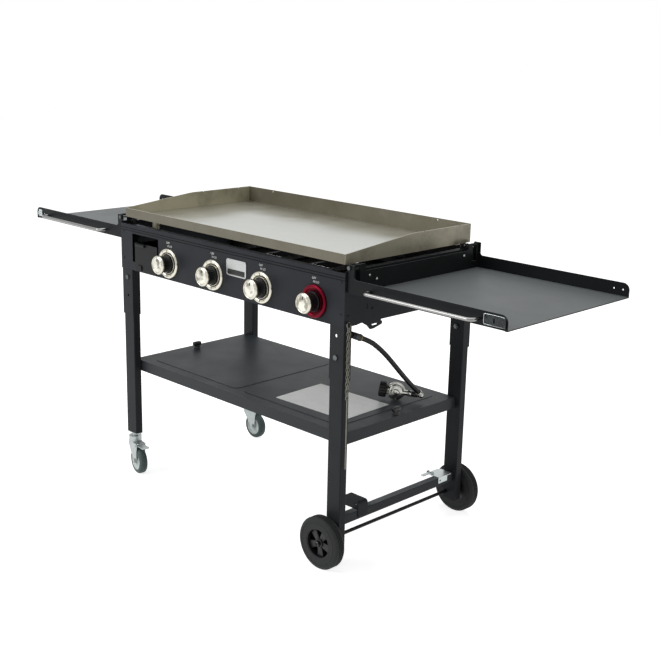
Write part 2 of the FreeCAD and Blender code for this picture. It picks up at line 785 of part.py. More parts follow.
def build_bottom_shelf():
    """Pressed sheet shelf with turned edges and two raised panels."""
    half_x = shelf_length / 2
    half_y = shelf_depth / 2
    low = shelf_top - shelf_edge
    rail_outer = half_x - 1.5
    rail_inner = rail_outer - shelf_rail_width
    skin = box(-half_x, half_x, -half_y, half_y, shelf_top - 1.2, shelf_top)
    pieces = [skin]
    clear = rail_inner - 2
    for end in (-1, 1):
        y0, y1 = sorted((end * half_y, end * (half_y - 1.2)))
        pieces.append(box(-clear, clear, y0, y1, low, shelf_top))
        y2, y3 = sorted((end * half_y, end * (half_y - shelf_lip)))
        pieces.append(box(-clear, clear, y2, y3, low, low + 1.2))
        x0, x1 = sorted((end * half_x, end * (half_x - 1.2)))
        pieces.append(box(x0, x1, -half_y, half_y, low, shelf_top))
    panel_half = half_y - shelf_panel_margin
    inner = 12.0
    outer = half_x - shelf_panel_end_margin
    for side_sign in (-1, 1):
        x0, x1 = sorted((side_sign * inner, side_sign * outer))
        panel = rounded_block(x0, x1, -panel_half, panel_half, shelf_top - 0.6, shelf_floor, 22.0, "z")
        pieces.append(panel)
    return fused(pieces)


def build_shelf_rails():
    """Cross tubes under the ends of the shelf, each between a front and a rear leg."""
    outer = shelf_length / 2 - 1.5
    x0 = outer - shelf_rail_width
    top = shelf_top - 1.2
    tube = box(x0, outer, -leg_inner_y, leg_inner_y, top - shelf_rail_height, top)
    bore = box(x0 + 1.5, outer - 1.5, -leg_inner_y - 1, leg_inner_y + 1,
               top - shelf_rail_height + 1.5, top - 1.5)
    rail = tube.cut(bore)
    return [rail, mirror_x(rail)]


def build_latch(x):
    """Turn button that holds one end of the shelf down."""
    y = latch_y
    middle = shelf_top + latch_height * 0.45
    base = rod(Vector(x, y, shelf_top), Vector(x, y, middle), latch_radius)
    wing = rounded_block(x - 9, x + 9, y - 14.5, y + 14.5, middle, shelf_top + latch_height, 4.0, "x")
    return fused([base, wing])


def build_care_sheet():
    """Blank plate that lies on the bottom shelf."""
    long_side, short_side = care_sheet_size
    cx = shelf_length / 2 - care_sheet_end_setback
    cy = care_sheet_front_setback - shelf_depth / 2
    plate = rounded_block(cx - long_side / 2, cx + long_side / 2, cy - short_side / 2, cy + short_side / 2,
                          shelf_floor, shelf_floor + care_sheet_thickness, 3.0, "z")
    plate.rotate(Vector(cx, cy, 0), Vector(0, 0, 1), care_sheet_turn)
    return plate


def bottom_rail_x():
    """Inner and outer X of the rail between the wheel legs."""
    middle = (leg_inner_x + leg_outer_x) / 2
    return middle - bottom_rail_width / 2, middle + bottom_rail_width / 2


def build_bottom_rail():
    """Rectangular tube between the wheel legs, which the gas bottle stands against."""
    x0, x1 = bottom_rail_x()
    z0, z1 = bottom_rail_z, bottom_rail_z + bottom_rail_height
    rail = rounded_block(x0, x1, -leg_inner_y, leg_inner_y, z0, z1, 2.5, "y")
    return rail.cut(rounded_block(x0 + 1.5, x1 - 1.5, -leg_inner_y - 1, leg_inner_y + 1, z0 + 1.5, z1 - 1.5,
                                  1.5, "y"))


def wheel_faces():
    """Inner and outer distance of a wheel from the middle plane."""
    inner = leg_outer_y + wheel_gap
    return inner, inner + wheel_width


def build_axle():
    """Wheel axle with its spacers and end nuts."""
    inner, outer = wheel_faces()
    x, z = wheel_x, wheel_radius
    end_y = half_box_y + knob_projection
    bar = rod(Vector(x, -end_y, z), Vector(x, end_y, z), axle_radius)
    pieces = [bar]
    for end in (-1, 1):
        pieces.append(rod(Vector(x, end * leg_outer_y, z), Vector(x, end * (inner - 0.2), z), 10.0))
        nut_start = outer - hub_recess / 2 + 0.2
        pieces.append(hexagon(Vector(x, end * nut_start, z), Vector(x, end * (nut_start + 4.0), z), 9.0))
    return fused(pieces)


def build_tyre():
    """Rear wheel's solid tyre."""
    inner, outer = wheel_faces()
    profile = ((inner, tyre_inner_radius), (outer, tyre_inner_radius), (outer, wheel_radius - 9),
               (outer - 4, wheel_radius), (inner + 4, wheel_radius), (inner, wheel_radius - 9))
    return turned(profile, [0, 0, 4, 4, 4, 4], Vector(wheel_x, 0, wheel_radius))


def build_hub():
    """Rear wheel's hub with wide spokes, set back from the tyre's side."""
    inner, outer = wheel_faces()
    x, z = wheel_x, wheel_radius
    pocket = tyre_inner_radius - 2
    face = outer - hub_recess
    rim = pipe(Vector(x, inner + 1, z), Vector(x, outer - 1, z), tyre_inner_radius, pocket)
    boss = rod(Vector(x, inner, z), Vector(x, outer - hub_recess / 2, z), hub_boss_radius)
    web = rod(Vector(x, inner + 4, z), Vector(x, inner + 8, z), pocket + 1)
    pieces = [rim, boss, web]
    for i in range(spoke_count):
        outline = ((x - 7, z + hub_boss_radius - 3), (x + 7, z + hub_boss_radius - 3),
                   (x + 12, z + tyre_inner_radius), (x - 12, z + tyre_inner_radius))
        spoke = sheet_along_y(outline, [0, 0, 0, 0], inner + 6, face)
        spoke = spoke.common(rod(Vector(x, inner, z), Vector(x, outer, z), tyre_inner_radius - 1))
        spoke.rotate(Vector(x, 0, z), Vector(0, 1, 0), spoke_turn + i * 360 / spoke_count)
        pieces.append(spoke)
    hub = fused(pieces)
    return hub.cut(rod(Vector(x, inner - 1, z), Vector(x, outer + 1, z), axle_radius + running_gap))


def caster_centre(end):
    """Stem axis of a caster, under the middle of its leg."""
    return Vector(-(leg_inner_x + leg_outer_x) / 2, end * (leg_inner_y + leg_outer_y) / 2, 0)


def build_caster_stem(end):
    """Fixed swivel head, stem and leg plug of a caster."""
    c = caster_centre(end)
    top = left_leg_bottom
    fork_top = caster_fork_top()
    neck_start = top - caster_neck_length
    head = rod(c + Vector(0, 0, fork_top + 0.2), c + Vector(0, 0, neck_start), caster_head_radius)
    neck = rod(c + Vector(0, 0, neck_start), c + Vector(0, 0, top), caster_neck_radius)
    cap_x = leg_width / 2 - 1
    cap_y = leg_depth / 2 - 1
    cap = box(c.x - cap_x, c.x + cap_x, c.y - cap_y, c.y + cap_y, top - 3, top)
    half_x = leg_width / 2 - leg_wall - plug_gap
    half_y = leg_depth / 2 - leg_wall - plug_gap
    plug = rounded_block(c.x - half_x, c.x + half_x, c.y - half_y, c.y + half_y,
                         top - 1, top + caster_plug_length, 1.5, "z")
    king = rod(c + Vector(0, 0, fork_top - 7), c + Vector(0, 0, fork_top + 2), caster_king_radius)
    rivet = rod(c + Vector(0, 0, fork_top - 7), c + Vector(0, 0, fork_top - 3.2), caster_king_radius + 3)
    return fused([head, neck, cap, plug, king, rivet])


def caster_fork_top():
    """Top face of a caster's fork."""
    return left_leg_bottom - caster_stem_height


def build_caster_fork(end, turn):
    """Swivelling fork with the wheel's axle bolt."""
    c = caster_centre(end)
    top = caster_fork_top()
    r = caster_radius
    half = caster_width / 2 + 0.5
    t = caster_fork_sheet
    trail = caster_trail
    outline = ((-18, top), (-18, top - 14), (trail - 11, r + 2), (trail - 7, r - 10), (trail + 7, r - 10),
               (trail + 11, r + 6), (trail + 16, top))
    radii = [0, 6, 6, 6, 6, 6, 0]
    crown = rounded_block(-20, trail + 6, -half - t, half + t, top - 3, top, 4.0, "z")
    plate = sheet_along_y(outline, radii, half, half + t)
    other = sheet_along_y(outline, radii, -half - t, -half)
    fork = fused([crown, plate, other])
    fork = fork.cut(rod(Vector(0, 0, top - 10), Vector(0, 0, top + 5), caster_king_radius + running_gap))
    axle = rod(Vector(trail, -half - t - 4, r), Vector(trail, half + t + 4, r), caster_axle_radius)
    nuts = [hexagon(Vector(trail, s * (half + t), r), Vector(trail, s * (half + t + 3.5), r), 7.0)
            for s in (-1, 1)]
    fork = fused([fork, axle] + nuts)
    if end < 0:
        for s in (-1, 1):
            start = Vector(trail + 9, s * half, top - 8)
            lug = rod(start, start + Vector(0, s * (t + 1), 0), 4.0)
            fork = fork.fuse(lug)
        start = Vector(trail + 9, -half - t - 2, top - 8)
        fork = fork.cut(rod(start, start + Vector(0, 2 * (half + t + 2), 0), 2.0 + running_gap))
    fork.rotate(Vector(0, 0, 0), Vector(0, 0, 1), turn)
    fork.translate(Vector(c.x, c.y, 0))
    return fork


def build_caster_wheel(end, turn):
    """Caster's tyre and core, which turn together."""
    c = caster_centre(end)
    r = caster_radius
    half = caster_width / 2
    trail = caster_trail
    hub = r - caster_tyre_thickness
    tread = ((-half, hub), (half, hub), (half, r - 8), (half - 5, r), (-half + 5, r), (-half, r - 8))
    tyre = turned(tread, [0, 0, 5, 5, 5, 5], Vector(trail, 0, r))
    bore = caster_axle_radius + running_gap
    web = ((-half, bore), (half, bore), (half, 9), (half - 4, 11), (half - 4, hub - 4), (half - 1, hub - 3),
           (half - 1, hub), (-half + 1, hub), (-half + 1, hub - 3), (-half + 4, hub - 4), (-half + 4, 11),
           (-half, 9))
    core = turned(web, [0] * len(web), Vector(trail, 0, r))
    for shape in (tyre, core):
        shape.rotate(Vector(0, 0, 0), Vector(0, 0, 1), turn)
        shape.translate(Vector(c.x, c.y, 0))
    return [tyre, core]


def build_brake_pedal(turn):
    """Foot pedal over the front caster's wheel."""
    c = caster_centre(-1)
    x0 = caster_trail + 9
    z0 = caster_fork_top() - 8
    half = caster_width / 2 + 0.2
    pin = rod(Vector(x0, -half - 3, z0), Vector(x0, half + 3, z0), 2.0)
    barrel = rod(Vector(x0, -half + 1, z0), Vector(x0, half - 1, z0), 4.5)
    tread = rounded_block(x0, x0 + 46, -half + 1, half - 1, z0 + 1.5, z0 + 4, 1.2, "z")
    lip = box(x0 + 43, x0 + 46, -half + 3, half - 3, z0 + 1.5, z0 + 8)
    pedal = fused([pin, barrel, tread, lip])
    pedal.rotate(Vector(x0, 0, z0), Vector(0, 1, 0), -2.0)
    pedal.rotate(Vector(0, 0, 0), Vector(0, 0, 1), turn)
    pedal.translate(Vector(c.x, c.y, 0))
    return pedal


def build_side_tray():
    """Right side shelf: floor, rims, inner wall and hinge ears."""
    b = tray_bottom
    t = tray_sheet
    rim_top = b + tray_rim
    ear_top = b + tray_ear_height
    y1 = tray_half_depth
    y0 = y1 - t
    floor = box(tray_wall_x, tray_outer_x, -y1, y1, b, b + t)
    hem = box(tray_outer_x - 8, tray_outer_x, -y1, y1, b - 1.0, b)
    ear_end = tray_wall_x + 8
    outline = ((tray_start_x, b), (tray_outer_x, b), (tray_outer_x, rim_top), (ear_end, rim_top),
               (ear_end, ear_top), (tray_start_x, ear_top))
    radii = [2, 0, tray_corner, 8, 3, 3]
    rim = sheet_along_y(outline, radii, y0, y1)
    wall_top = b + tray_wall_height
    ear_in = y1 - tray_ear_length
    wall_outline = ((-y1, b), (y1, b), (y1, ear_top), (ear_in, ear_top), (ear_in, wall_top),
                    (-ear_in, wall_top), (-ear_in, ear_top), (-y1, ear_top))
    wall = sheet_along_x(wall_outline, [0, 0, 0, 4, 3, 3, 4, 0], tray_wall_x, tray_wall_x + t)
    tray = fused([floor, hem, rim, mirror_y(rim), wall])
    for end in (-1, 1):
        y = end * y1
        start = Vector(shelf_hinge_x, y - 5, lid_pivot_z)
        tray = tray.cut(rod(start, start + Vector(0, 10, 0), hinge_bolt_radius + running_gap))
        near, far = sorted((end * (y1 - 12), end * (y1 - 28)))
        tray = tray.cut(box(tray_wall_x - 1, tray_wall_x + t + 1, near, far, b + 22, ear_top - 6))
        for inset in (18.0, 44.0):
            x = tray_outer_x - inset
            z = b + 18
            tray = tray.cut(rod(Vector(x, y - 5, z), Vector(x, y + 5, z), 2.2))
    near, far = tray_front_holes
    for y, z in ((near - y1, wall_top - 14), (far - y1, wall_top - 27), (y1 - tray_rear_hole, wall_top - 12)):
        tray = tray.cut(rod(Vector(tray_wall_x - 1, y, z), Vector(tray_wall_x + t + 1, y, z), 2.5))
    return tray


def build_hinge_bolts():
    """Hinge bolts of both side shelves."""
    bolts = []
    inner = tray_half_depth - tray_ear_length + 6.0
    head = tray_half_depth + 0.2
    x, z = shelf_hinge_x, lid_pivot_z
    shank = rod(Vector(x, inner - 6, z), Vector(x, head, z), hinge_bolt_radius)
    cap = hexagon(Vector(x, head, z), Vector(x, head + 4, z), 5.8)
    nut = hexagon(Vector(x, inner - 5, z), Vector(x, inner, z), 5.8)
    bolt = fused([shank, cap, nut])
    for one in (bolt, mirror_y(bolt)):
        bolts += [one, mirror_x(one)]
    return bolts


def build_towel_bar():
    """Rail along the front rim of the right side shelf."""
    x0 = shelf_hinge_x + towel_bar_from
    x1 = tray_outer_x - towel_bar_setback
    y_rim = -tray_half_depth
    y_bar = y_rim - towel_bar_reach
    z = tray_bottom + towel_bar_rise
    points = [Vector(x0, y_rim, z), Vector(x0, y_bar, z), Vector(x1, y_bar, z), Vector(x1, y_rim, z)]
    bend = 3 * towel_bar_radius
    return swept_rod(points, [0, bend, bend, 0], towel_bar_radius)


def hasp_pin():
    """Hinge line of the hasp leaf: its X and Y."""
    return tray_outer_x - 5.0, -tray_half_depth - 3.0


def hasp_bottom():
    """Lower edge of the hasp plate."""
    return tray_bottom + 5.0


def build_hasp_base():
    """Fixed plate of the hasp on the right side shelf, with its outer knuckles."""
    x, y = hasp_pin()
    z0 = hasp_bottom()
    z1 = z0 + hasp_height
    face = -tray_half_depth
    plate = rounded_block(x - hasp_width, x - 3, face - hasp_sheet, face, z0, z1, 2.0, "y")
    pieces = [plate]
    third = hasp_height / 3
    for low in (z0, z1 - third):
        pieces.append(rod(Vector(x, y, low), Vector(x, y, low + third - 0.3), 1.8))
        pieces.append(box(x - 4, x, face - hasp_sheet, face, low, low + third - 0.3))
        pieces.append(box(x - 1.2, x + 0.6, y, face - 0.2, low, low + third - 0.3))
    pieces.append(rod(Vector(x, y, z0), Vector(x, y, z1 - 0.3), 0.9))
    base = fused(pieces)
    for px, pz in ((x - hasp_width + 5, z0 + 5), (x - hasp_width + 5, z1 - 5)):
        base = base.cut(rod(Vector(px, face - 5, pz), Vector(px, face + 1, pz), 1.6))
    return base


def build_hasp_leaf():
    """Slotted leaf of the hasp, folded back over its plate."""
    x, y = hasp_pin()
    z0 = hasp_bottom()
    z1 = z0 + hasp_height
    third = hasp_height / 3
    middle0 = z0 + third
    middle1 = z1 - third - 0.3
    knuckle = rod(Vector(x, y, middle0), Vector(x, y, middle1), 1.8)
    strap = rounded_block(x - 42, x, y - 1.7, y - 0.5, z0 + 2, z1 - 2, 1.0, "y")
    strap = strap.cut(box(x - 3, x + 1, y - 3, y + 3, z0 - 1, middle0))
    strap = strap.cut(box(x - 3, x + 1, y - 3, y + 3, middle1, z1 + 1))
    leaf = fused([knuckle, strap])
    leaf = leaf.cut(rod(Vector(x, y, z0), Vector(x, y, z1), 0.9 + running_gap))
    return leaf.cut(rounded_block(x - hasp_slot_reach - 2, x - hasp_slot_reach + 2, y - 5, y + 5,
                                  z0 + 7, z1 - 7, 1.9, "y"))


def build_hasp_hook():
    """Staple on the left side shelf that the hasp leaf closes over."""
    pin_x = hasp_pin()[0]
    x = -(2 * shelf_hinge_x + (2 * shelf_hinge_x - pin_x) - hasp_slot_reach)
    face = -tray_half_depth
    z = hasp_bottom() + hasp_height / 2
    plate = rounded_block(x - 10, x + 10, face - hasp_sheet, face, z - 11, z + 11, 2.0, "y")
    points = [Vector(x, face - hasp_sheet, z - 4), Vector(x, face - 9, z - 4), Vector(x, face - 9, z + 4),
              Vector(x, face - hasp_sheet, z + 4)]
    loop = swept_rod(points, [0, 3, 3, 0], 1.5)
    return fused([plate, loop])


def build_tank_bracket():
    """Bent bracket on the bottom rail that the foot ring of the gas bottle hooks under."""
    x1 = bottom_rail_x()[1]
    t = bracket_sheet
    rail_top = bottom_rail_z + bottom_rail_height
    y0 = -leg_inner_y + bracket_setback
    y1 = y0 + bracket_width
    top = rail_top + bracket_rise
    far = x1 + t - bracket_reach
    outline = ((x1, rail_top - bracket_drop), (x1 + t, rail_top - bracket_drop), (x1 + t, top), (far, top),
               (far, top - t), (x1, top - t))
    strap = sheet_along_y(outline, [0, 0, 8, 0, 0, 5], y0, y1)
    lip = rounded_block(far, x1, y0, y0 + t, top - bracket_lip, top - t / 2, 1.0, "y")
    bracket = fused([strap, lip])
    return bracket.cut(rod(Vector(x1 - 8, y0 - 1, top - 9), Vector(x1 - 8, y0 + t + 1, top - 9), 2.0))


def clamp_pin():
    """Pin line of the clamp's lever: its two X ends, its Y and its height."""
    rail_top = bottom_rail_z + bottom_rail_height
    x0 = bottom_rail_x()[0] - clamp_overhang + 3
    y = leg_inner_y - clamp_setback - clamp_length + 2
    return x0, x0 + clamp_lever_width + 6, y, rail_top + clamp_pin_rise


def build_tank_clamp():
    """Zinc clamp plate over the bottom rail near the rear wheel leg."""
    x0, x1 = bottom_rail_x()
    rail_top = bottom_rail_z + bottom_rail_height
    t = clamp_sheet
    far = x0 - clamp_overhang
    y1 = leg_inner_y - clamp_setback
    y0 = y1 - clamp_length
    outline = ((far, y0 + 8), (far + 8, y0), (x1 + t, y0), (x1 + t, y1 - 6), (x1 - 5, y1), (far + 8, y1),
               (far, y1 - 8))
    top = sheet_along_z(outline, [0] * 7, rail_top, rail_top + t)
    flap = rounded_block(x1, x1 + t, y0 - 3, y0 + 37, rail_top - clamp_drop, rail_top + t, 3.0, "x")
    stay = box(x0 - t, x0, y0 + 12, y1 - 12, rail_top - clamp_drop, rail_top + t / 2)
    clamp = fused([top, flap, stay])
    hole_z = rail_top - clamp_drop / 2
    clamp = clamp.cut(rod(Vector(x1 - 1, y0 + 5, hole_z), Vector(x1 + 5, y0 + 5, hole_z), 3.0))
    ear_start, ear_end, pin_y, pin_z = clamp_pin()
    for x in (ear_start, ear_end - 2):
        ear = sheet_along_x(((pin_y - 5, rail_top), (pin_y + 10, rail_top), (pin_y + 5, pin_z + 4.5),
                             (pin_y - 5, pin_z + 4.5)), [0, 0, 4, 4], x, x + 2)
        clamp = clamp.fuse(ear)
    clamp = clamp.removeSplitter()
    return clamp.cut(rod(Vector(ear_start - 2, pin_y, pin_z), Vector(ear_end + 2, pin_y, pin_z),
                         clamp_pin_radius + running_gap))


def build_clamp_lever():
    """Over-centre lever of the zinc clamp."""
    ear_start, ear_end, y, z = clamp_pin()
    pin = rod(Vector(ear_start, y, z), Vector(ear_end, y, z), clamp_pin_radius)
    x0, x1 = ear_start + 3, ear_end - 3
    arm = rounded_block(x0, x1, y - clamp_lever_length, y + 1, z - 1, z + 1, 3.0, "z")
    hub = rod(Vector(x0, y, z), Vector(x1, y, z), 3.0)
    return fused([pin, arm, hub])


def regulator_axes():
    """Unit vectors along the regulator's axis, across it and upwards from it."""
    turn = math.radians(regulator_turn)
    tilt = math.radians(regulator_tilt)
    along = Vector(math.cos(turn) * math.cos(tilt), math.sin(turn) * math.cos(tilt), -math.sin(tilt))
    across = Vector(-math.sin(turn), math.cos(turn), 0)
    return along, across, along.cross(across)


def regulator_point(distance):
    """Point on the regulator's axis, which holds the housing on the shelf."""
    along = regulator_axes()[0]
    height = shelf_floor + regulator_housing_radius - along.z * regulator_housing_place
    return Vector(regulator_x, regulator_y, height) + along * distance


def build_regulator():
    """Regulator body with its nipple, diaphragm housing, outlet elbow and hose ferrule."""
    across = regulator_axes()[1]
    nipple = rod(regulator_point(-10), regulator_point(12), 6.0)
    collar = rod(regulator_point(-9), regulator_point(-4.3), 8.0)
    nut = hexagon(regulator_point(3.3), regulator_point(16), 14.0)
    block = rod(regulator_point(16), regulator_point(52), 12.0)
    middle = regulator_point(regulator_housing_place)
    housing = rod(middle - across * 4, middle + across * 13, regulator_housing_radius)
    dome = rod(middle - across * 14, middle - across * 4, regulator_housing_radius - 5)
    cap = rod(middle - across * 20, middle - across * 14, 10.0)
    outlet = rod(regulator_point(50), regulator_point(regulator_reach), 6.0)
    outlet_nut = hexagon(regulator_point(68), regulator_point(80), 9.5)
    end = hose_route[-1]
    towards = (end - hose_route[-2]).normalize()
    elbow_at = regulator_point(regulator_reach)
    elbow = Part.makeSphere(8.0, elbow_at)
    ferrule = rod(end, end + towards * 12, ferrule_radius)
    shank = rod(end + towards * 6, elbow_at, 5.0)
    body = [nipple, collar, nut, block, housing, dome, cap]
    return fused(body + [outlet, outlet_nut, elbow, shank, ferrule])


def build_handwheel():
    """Scalloped plastic coupling nut that turns on the regulator's nipple."""
    back, front = -18.0, 3.0
    body = rod(regulator_point(back), regulator_point(front), handwheel_radius)
    count = 12
    across, upward = regulator_axes()[1:]
    for i in range(count):
        a = 2 * math.pi * (i + 0.5) / count
        out = (across * math.cos(a) + upward * math.sin(a)) * (handwheel_radius + 2.0)
        body = body.cut(rod(regulator_point(back - 1) + out, regulator_point(front + 1) + out, 3.6))
    body = body.cut(rod(regulator_point(back - 1), regulator_point(front + 1), 6.0 + running_gap))
    return body.cut(rod(regulator_point(back - 1), regulator_point(-4), 14.0))


def build_hose():
    """Hose along its route, with arcs as large as the runs allow."""
    points = list(hose_route)
    radii = [0.0] * len(points)
    for i in range(1, len(points) - 1):
        before = points[i] - points[i - 1]
        after = points[i + 1] - points[i]
        turn = before.getAngle(after)
        radii[i] = 0.45 * min(before.Length, after.Length) / math.tan(turn / 2)
    path = rounded_path(points, radii)
    profile = Part.Wire(Part.makeCircle(hose_radius, points[0], points[1] - points[0]))
    hose = path.makePipeShell([profile], True, False)
    expected = math.pi * hose_radius ** 2 * path.Length
    print("hose radii", [round(r) for r in radii[1:-1]], "length", round(path.Length, 1),
          "volume over section times length", round(hose.Volume / expected, 4))
    return hose


def lighting_rod_y():
    """Place along Y where the lighting rod hangs."""
    return -half_box_y + 13.0


def lighting_pin_z():
    """Height of the pin that the lighting rod hangs from."""
    return firebox_bottom + 10.0


def build_lighting_rod():
    """Rings, a doubled chain strand and a long rod, hung beside the front wheel leg."""
    x = half_box + 4.5
    y = lighting_rod_y()
    z = lighting_pin_z()
    wire = lighting_wire_radius
    ring_z = z + 1.6 - lighting_ring_bore
    ring = Part.makeTorus(lighting_ring_bore + wire, wire, Vector(x, y, ring_z), Vector(1, 0, 0))
    top = ring_z - lighting_ring_bore - wire
    low = top - lighting_chain_length
    strands = [rod(Vector(x, y + s, top + 1), Vector(x, y + s * 0.6, low), 1.1) for s in (-3.0, 3.0)]
    bridge = rod(Vector(x, y - 3.6, top), Vector(x, y + 3.6, top), wire)
    small_z = low + 0.5 - lighting_ring_small
    small = Part.makeTorus(lighting_ring_small, wire, Vector(x, y, small_z), Vector(1, 0, 0))
    rod_top = small_z - lighting_ring_small + 0.5
    long_rod = rod(Vector(x, y, rod_top), Vector(x, y, rod_top - lighting_rod_length), lighting_rod_radius)
    return fused([ring, bridge, small, long_rod] + strands)


def main():
    """Build every node and write its STEP file."""
    os.makedirs("parts", exist_ok=True)
    save("griddle_plate", [build_griddle_plate()])
    save("plate_feet", build_plate_feet())
    save("front_panel", [build_front_panel()])
    save("rear_panel", [build_rear_panel()])
    side = build_side_panel()
    save("side_panel_right", [side])
    save("side_panel_left", [mirror_x(side)])
    save("burners", build_burners())
    save("burner_bearers", build_burner_bearers())
    save("gas_manifold", [build_manifold()])
    save("gas_valves", build_valves())
    for number, x in enumerate(knob_xs, 1):
        save("valve_stem_%d" % number, [build_valve_stem(x)])
        save("knob_%d" % number, build_knob(x))
    save("knob_bezels", [build_bezel(x) for x in knob_xs[:-1]])
    save("knob_bezel_red", [build_bezel(knob_xs[-1])])
    save("badge_plate", [build_badge()])
    save("grease_cup", [build_grease_cup()])
    sleeve = build_sleeve()
    pair = [sleeve, mirror_y(sleeve)]
    save("leg_sleeves", pair + [mirror_x(s) for s in pair])
    left_leg = mirror_x(build_left_leg())
    save("leg_rear_left", [left_leg])
    save("leg_front_left", [mirror_y(left_leg)])
    right_leg = build_right_leg()
    save("leg_rear_right", [right_leg])
    save("leg_front_right", [mirror_y(right_leg)])
    save("leg_bolts", build_leg_bolts())
    save("bottom_shelf", [build_bottom_shelf()])
    save("shelf_rails", build_shelf_rails())
    save("shelf_latch_right", [build_latch(shelf_length / 2 - latch_setback_right)])
    save("shelf_latch_left", [build_latch(latch_setback_left - shelf_length / 2)])
    save("care_sheet", [build_care_sheet()])
    save("bottom_rail", [build_bottom_rail()])
    save("wheel_axle", [build_axle()])
    tyre = build_tyre()
    hub = build_hub()
    save("tyre_rear", [tyre])
    save("tyre_front", [mirror_y(tyre)])
    save("hub_rear", [hub])
    save("hub_front", [mirror_y(hub)])
    save("caster_stems", [build_caster_stem(-1), build_caster_stem(1)])
    save("caster_fork_front", [build_caster_fork(-1, caster_turn_front)])
    save("caster_fork_rear", [build_caster_fork(1, 0.0)])
    save("caster_wheel_front", build_caster_wheel(-1, caster_turn_front))
    save("caster_wheel_rear", build_caster_wheel(1, 0.0))
    save("brake_pedal", [build_brake_pedal(caster_turn_front)])
    tray = build_side_tray()
    save("side_shelf_right", [tray])
    save("side_shelf_left", [mirror_x(tray)])
    save("hinge_bolts", build_hinge_bolts())
    bar = build_towel_bar()
    save("towel_bar_right", [bar])
    save("towel_bar_left", [mirror_x(bar)])
    save("hasp_base", [build_hasp_base()])
    save("hasp_leaf", [build_hasp_leaf()])
    save("hasp_hook", [build_hasp_hook()])
    save("tank_bracket", [build_tank_bracket()])
    save("tank_clamp", [build_tank_clamp()])
    save("tank_clamp_lever", [build_clamp_lever()])
    save("gas_hose", [build_hose()])
    save("regulator", [build_regulator()])
    save("regulator_handwheel", [build_handwheel()])
    save("lighting_rod", [build_lighting_rod()])


if __name__ == "__main__":
    main()
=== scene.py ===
import logging
import math
from dataclasses import dataclass
from enum import Enum
from typing import Iterable, Sequence

import bmesh
import bpy
from mathutils import Matrix, Vector


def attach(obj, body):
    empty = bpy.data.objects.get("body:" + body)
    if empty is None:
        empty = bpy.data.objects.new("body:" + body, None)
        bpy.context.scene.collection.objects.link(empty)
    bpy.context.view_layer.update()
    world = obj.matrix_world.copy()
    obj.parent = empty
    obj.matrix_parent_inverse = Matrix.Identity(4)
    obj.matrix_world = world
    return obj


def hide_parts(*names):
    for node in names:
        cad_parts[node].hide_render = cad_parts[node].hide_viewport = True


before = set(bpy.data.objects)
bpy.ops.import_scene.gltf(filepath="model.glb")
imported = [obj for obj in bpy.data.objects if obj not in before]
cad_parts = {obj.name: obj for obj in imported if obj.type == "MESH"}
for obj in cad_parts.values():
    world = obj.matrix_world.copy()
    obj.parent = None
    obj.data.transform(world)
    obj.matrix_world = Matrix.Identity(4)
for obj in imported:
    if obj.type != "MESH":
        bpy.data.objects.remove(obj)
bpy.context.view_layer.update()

# Outdoor gas griddle station, dressed for the studio. Metres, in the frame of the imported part:
# X along the width, the control panel faces -Y, Z up, origin on the floor.

log = logging.getLogger("griddle_station")

MM = 0.001
PANEL_FACE_Y = -0.261
KNOB_HEIGHT = 0.717
KNOB_XS = (-0.242, -0.037, 0.168, 0.373)
SHELF_FLOOR = 0.373

# The hose's line, from the manifold's crimp down to the regulator's elbow.
HOSE_ROUTE = (
    (0.440, -0.154, 0.6138),
    (0.440, -0.118, 0.5985),
    (0.440, -0.086, 0.576),
    (0.440, -0.050, 0.5456),
    (0.440, -0.009, 0.5045),
    (0.437, 0.035, 0.4626),
    (0.431, 0.075, 0.429),
    (0.4274, 0.1024, 0.4065),
)

# Points nearer than this are one point.
MERGE = 1e-6

# Socket numbers of a Mix node that mixes colours.
FACTOR, MIX_A, MIX_B, MIXED = 0, 6, 7, 2


class Side(Enum):
    """Left or right half of the station, as the sign of its X."""

    LEFT = -1
    RIGHT = 1


class End(Enum):
    """Front or rear of the station, as the sign of its Y."""

    FRONT = -1
    REAR = 1


# Colours and nodes


def linear_colour(hex_code: str) -> tuple[float, float, float, float]:
    """Turn an sRGB hex colour into the linear colour that a shader takes.

    Args:
        hex_code: Six hex digits with a leading hash mark.

    Returns:
        Red, green, blue and an alpha of 1, all linear.
    """
    channels = []
    for i in (1, 3, 5):
        value = int(hex_code[i:i + 2], 16) / 255
        channels.append(value / 12.92 if value <= 0.04045 else ((value + 0.055) / 1.055) ** 2.4)
    return (channels[0], channels[1], channels[2], 1.0)


def repeats(size_mm: float) -> float:
    """Give the pattern scale, in repeats per metre, of a feature of this size."""
    return 1000.0 / size_mm


def add_node(
    tree: bpy.types.NodeTree,
    kind: str,
    settings: dict[str, object] | None = None,
    links: dict[str | int, object] | None = None,
    stops: Sequence[tuple[float, str]] = (),
) -> bpy.types.Node:
    """Add a shader node with its settings and inputs.

    Args:
        tree: The node tree of the material.
        kind: Blender's name of the node type.
        settings: Property names of the node with their values.
        links: Input names or numbers, each with a socket to join or a plain value.
        stops: The places of a colour ramp from 0 to 1, in order, each with an sRGB hex colour.

    Returns:
        The new node.
    """
    node = tree.nodes.new(kind)
    for name, value in (settings or {}).items():
        setattr(node, name, value)
    for name, value in (links or {}).items():
        if isinstance(value, bpy.types.NodeSocket):
            tree.links.new(value, node.inputs[name])
        else:
            node.inputs[name].default_value = value
    for number, (place, colour) in enumerate(stops):
        points = node.color_ramp.elements
        point = points[number] if number < len(points) else points.new(place)
        point.position = place
        point.color = linear_colour(colour)
    return node


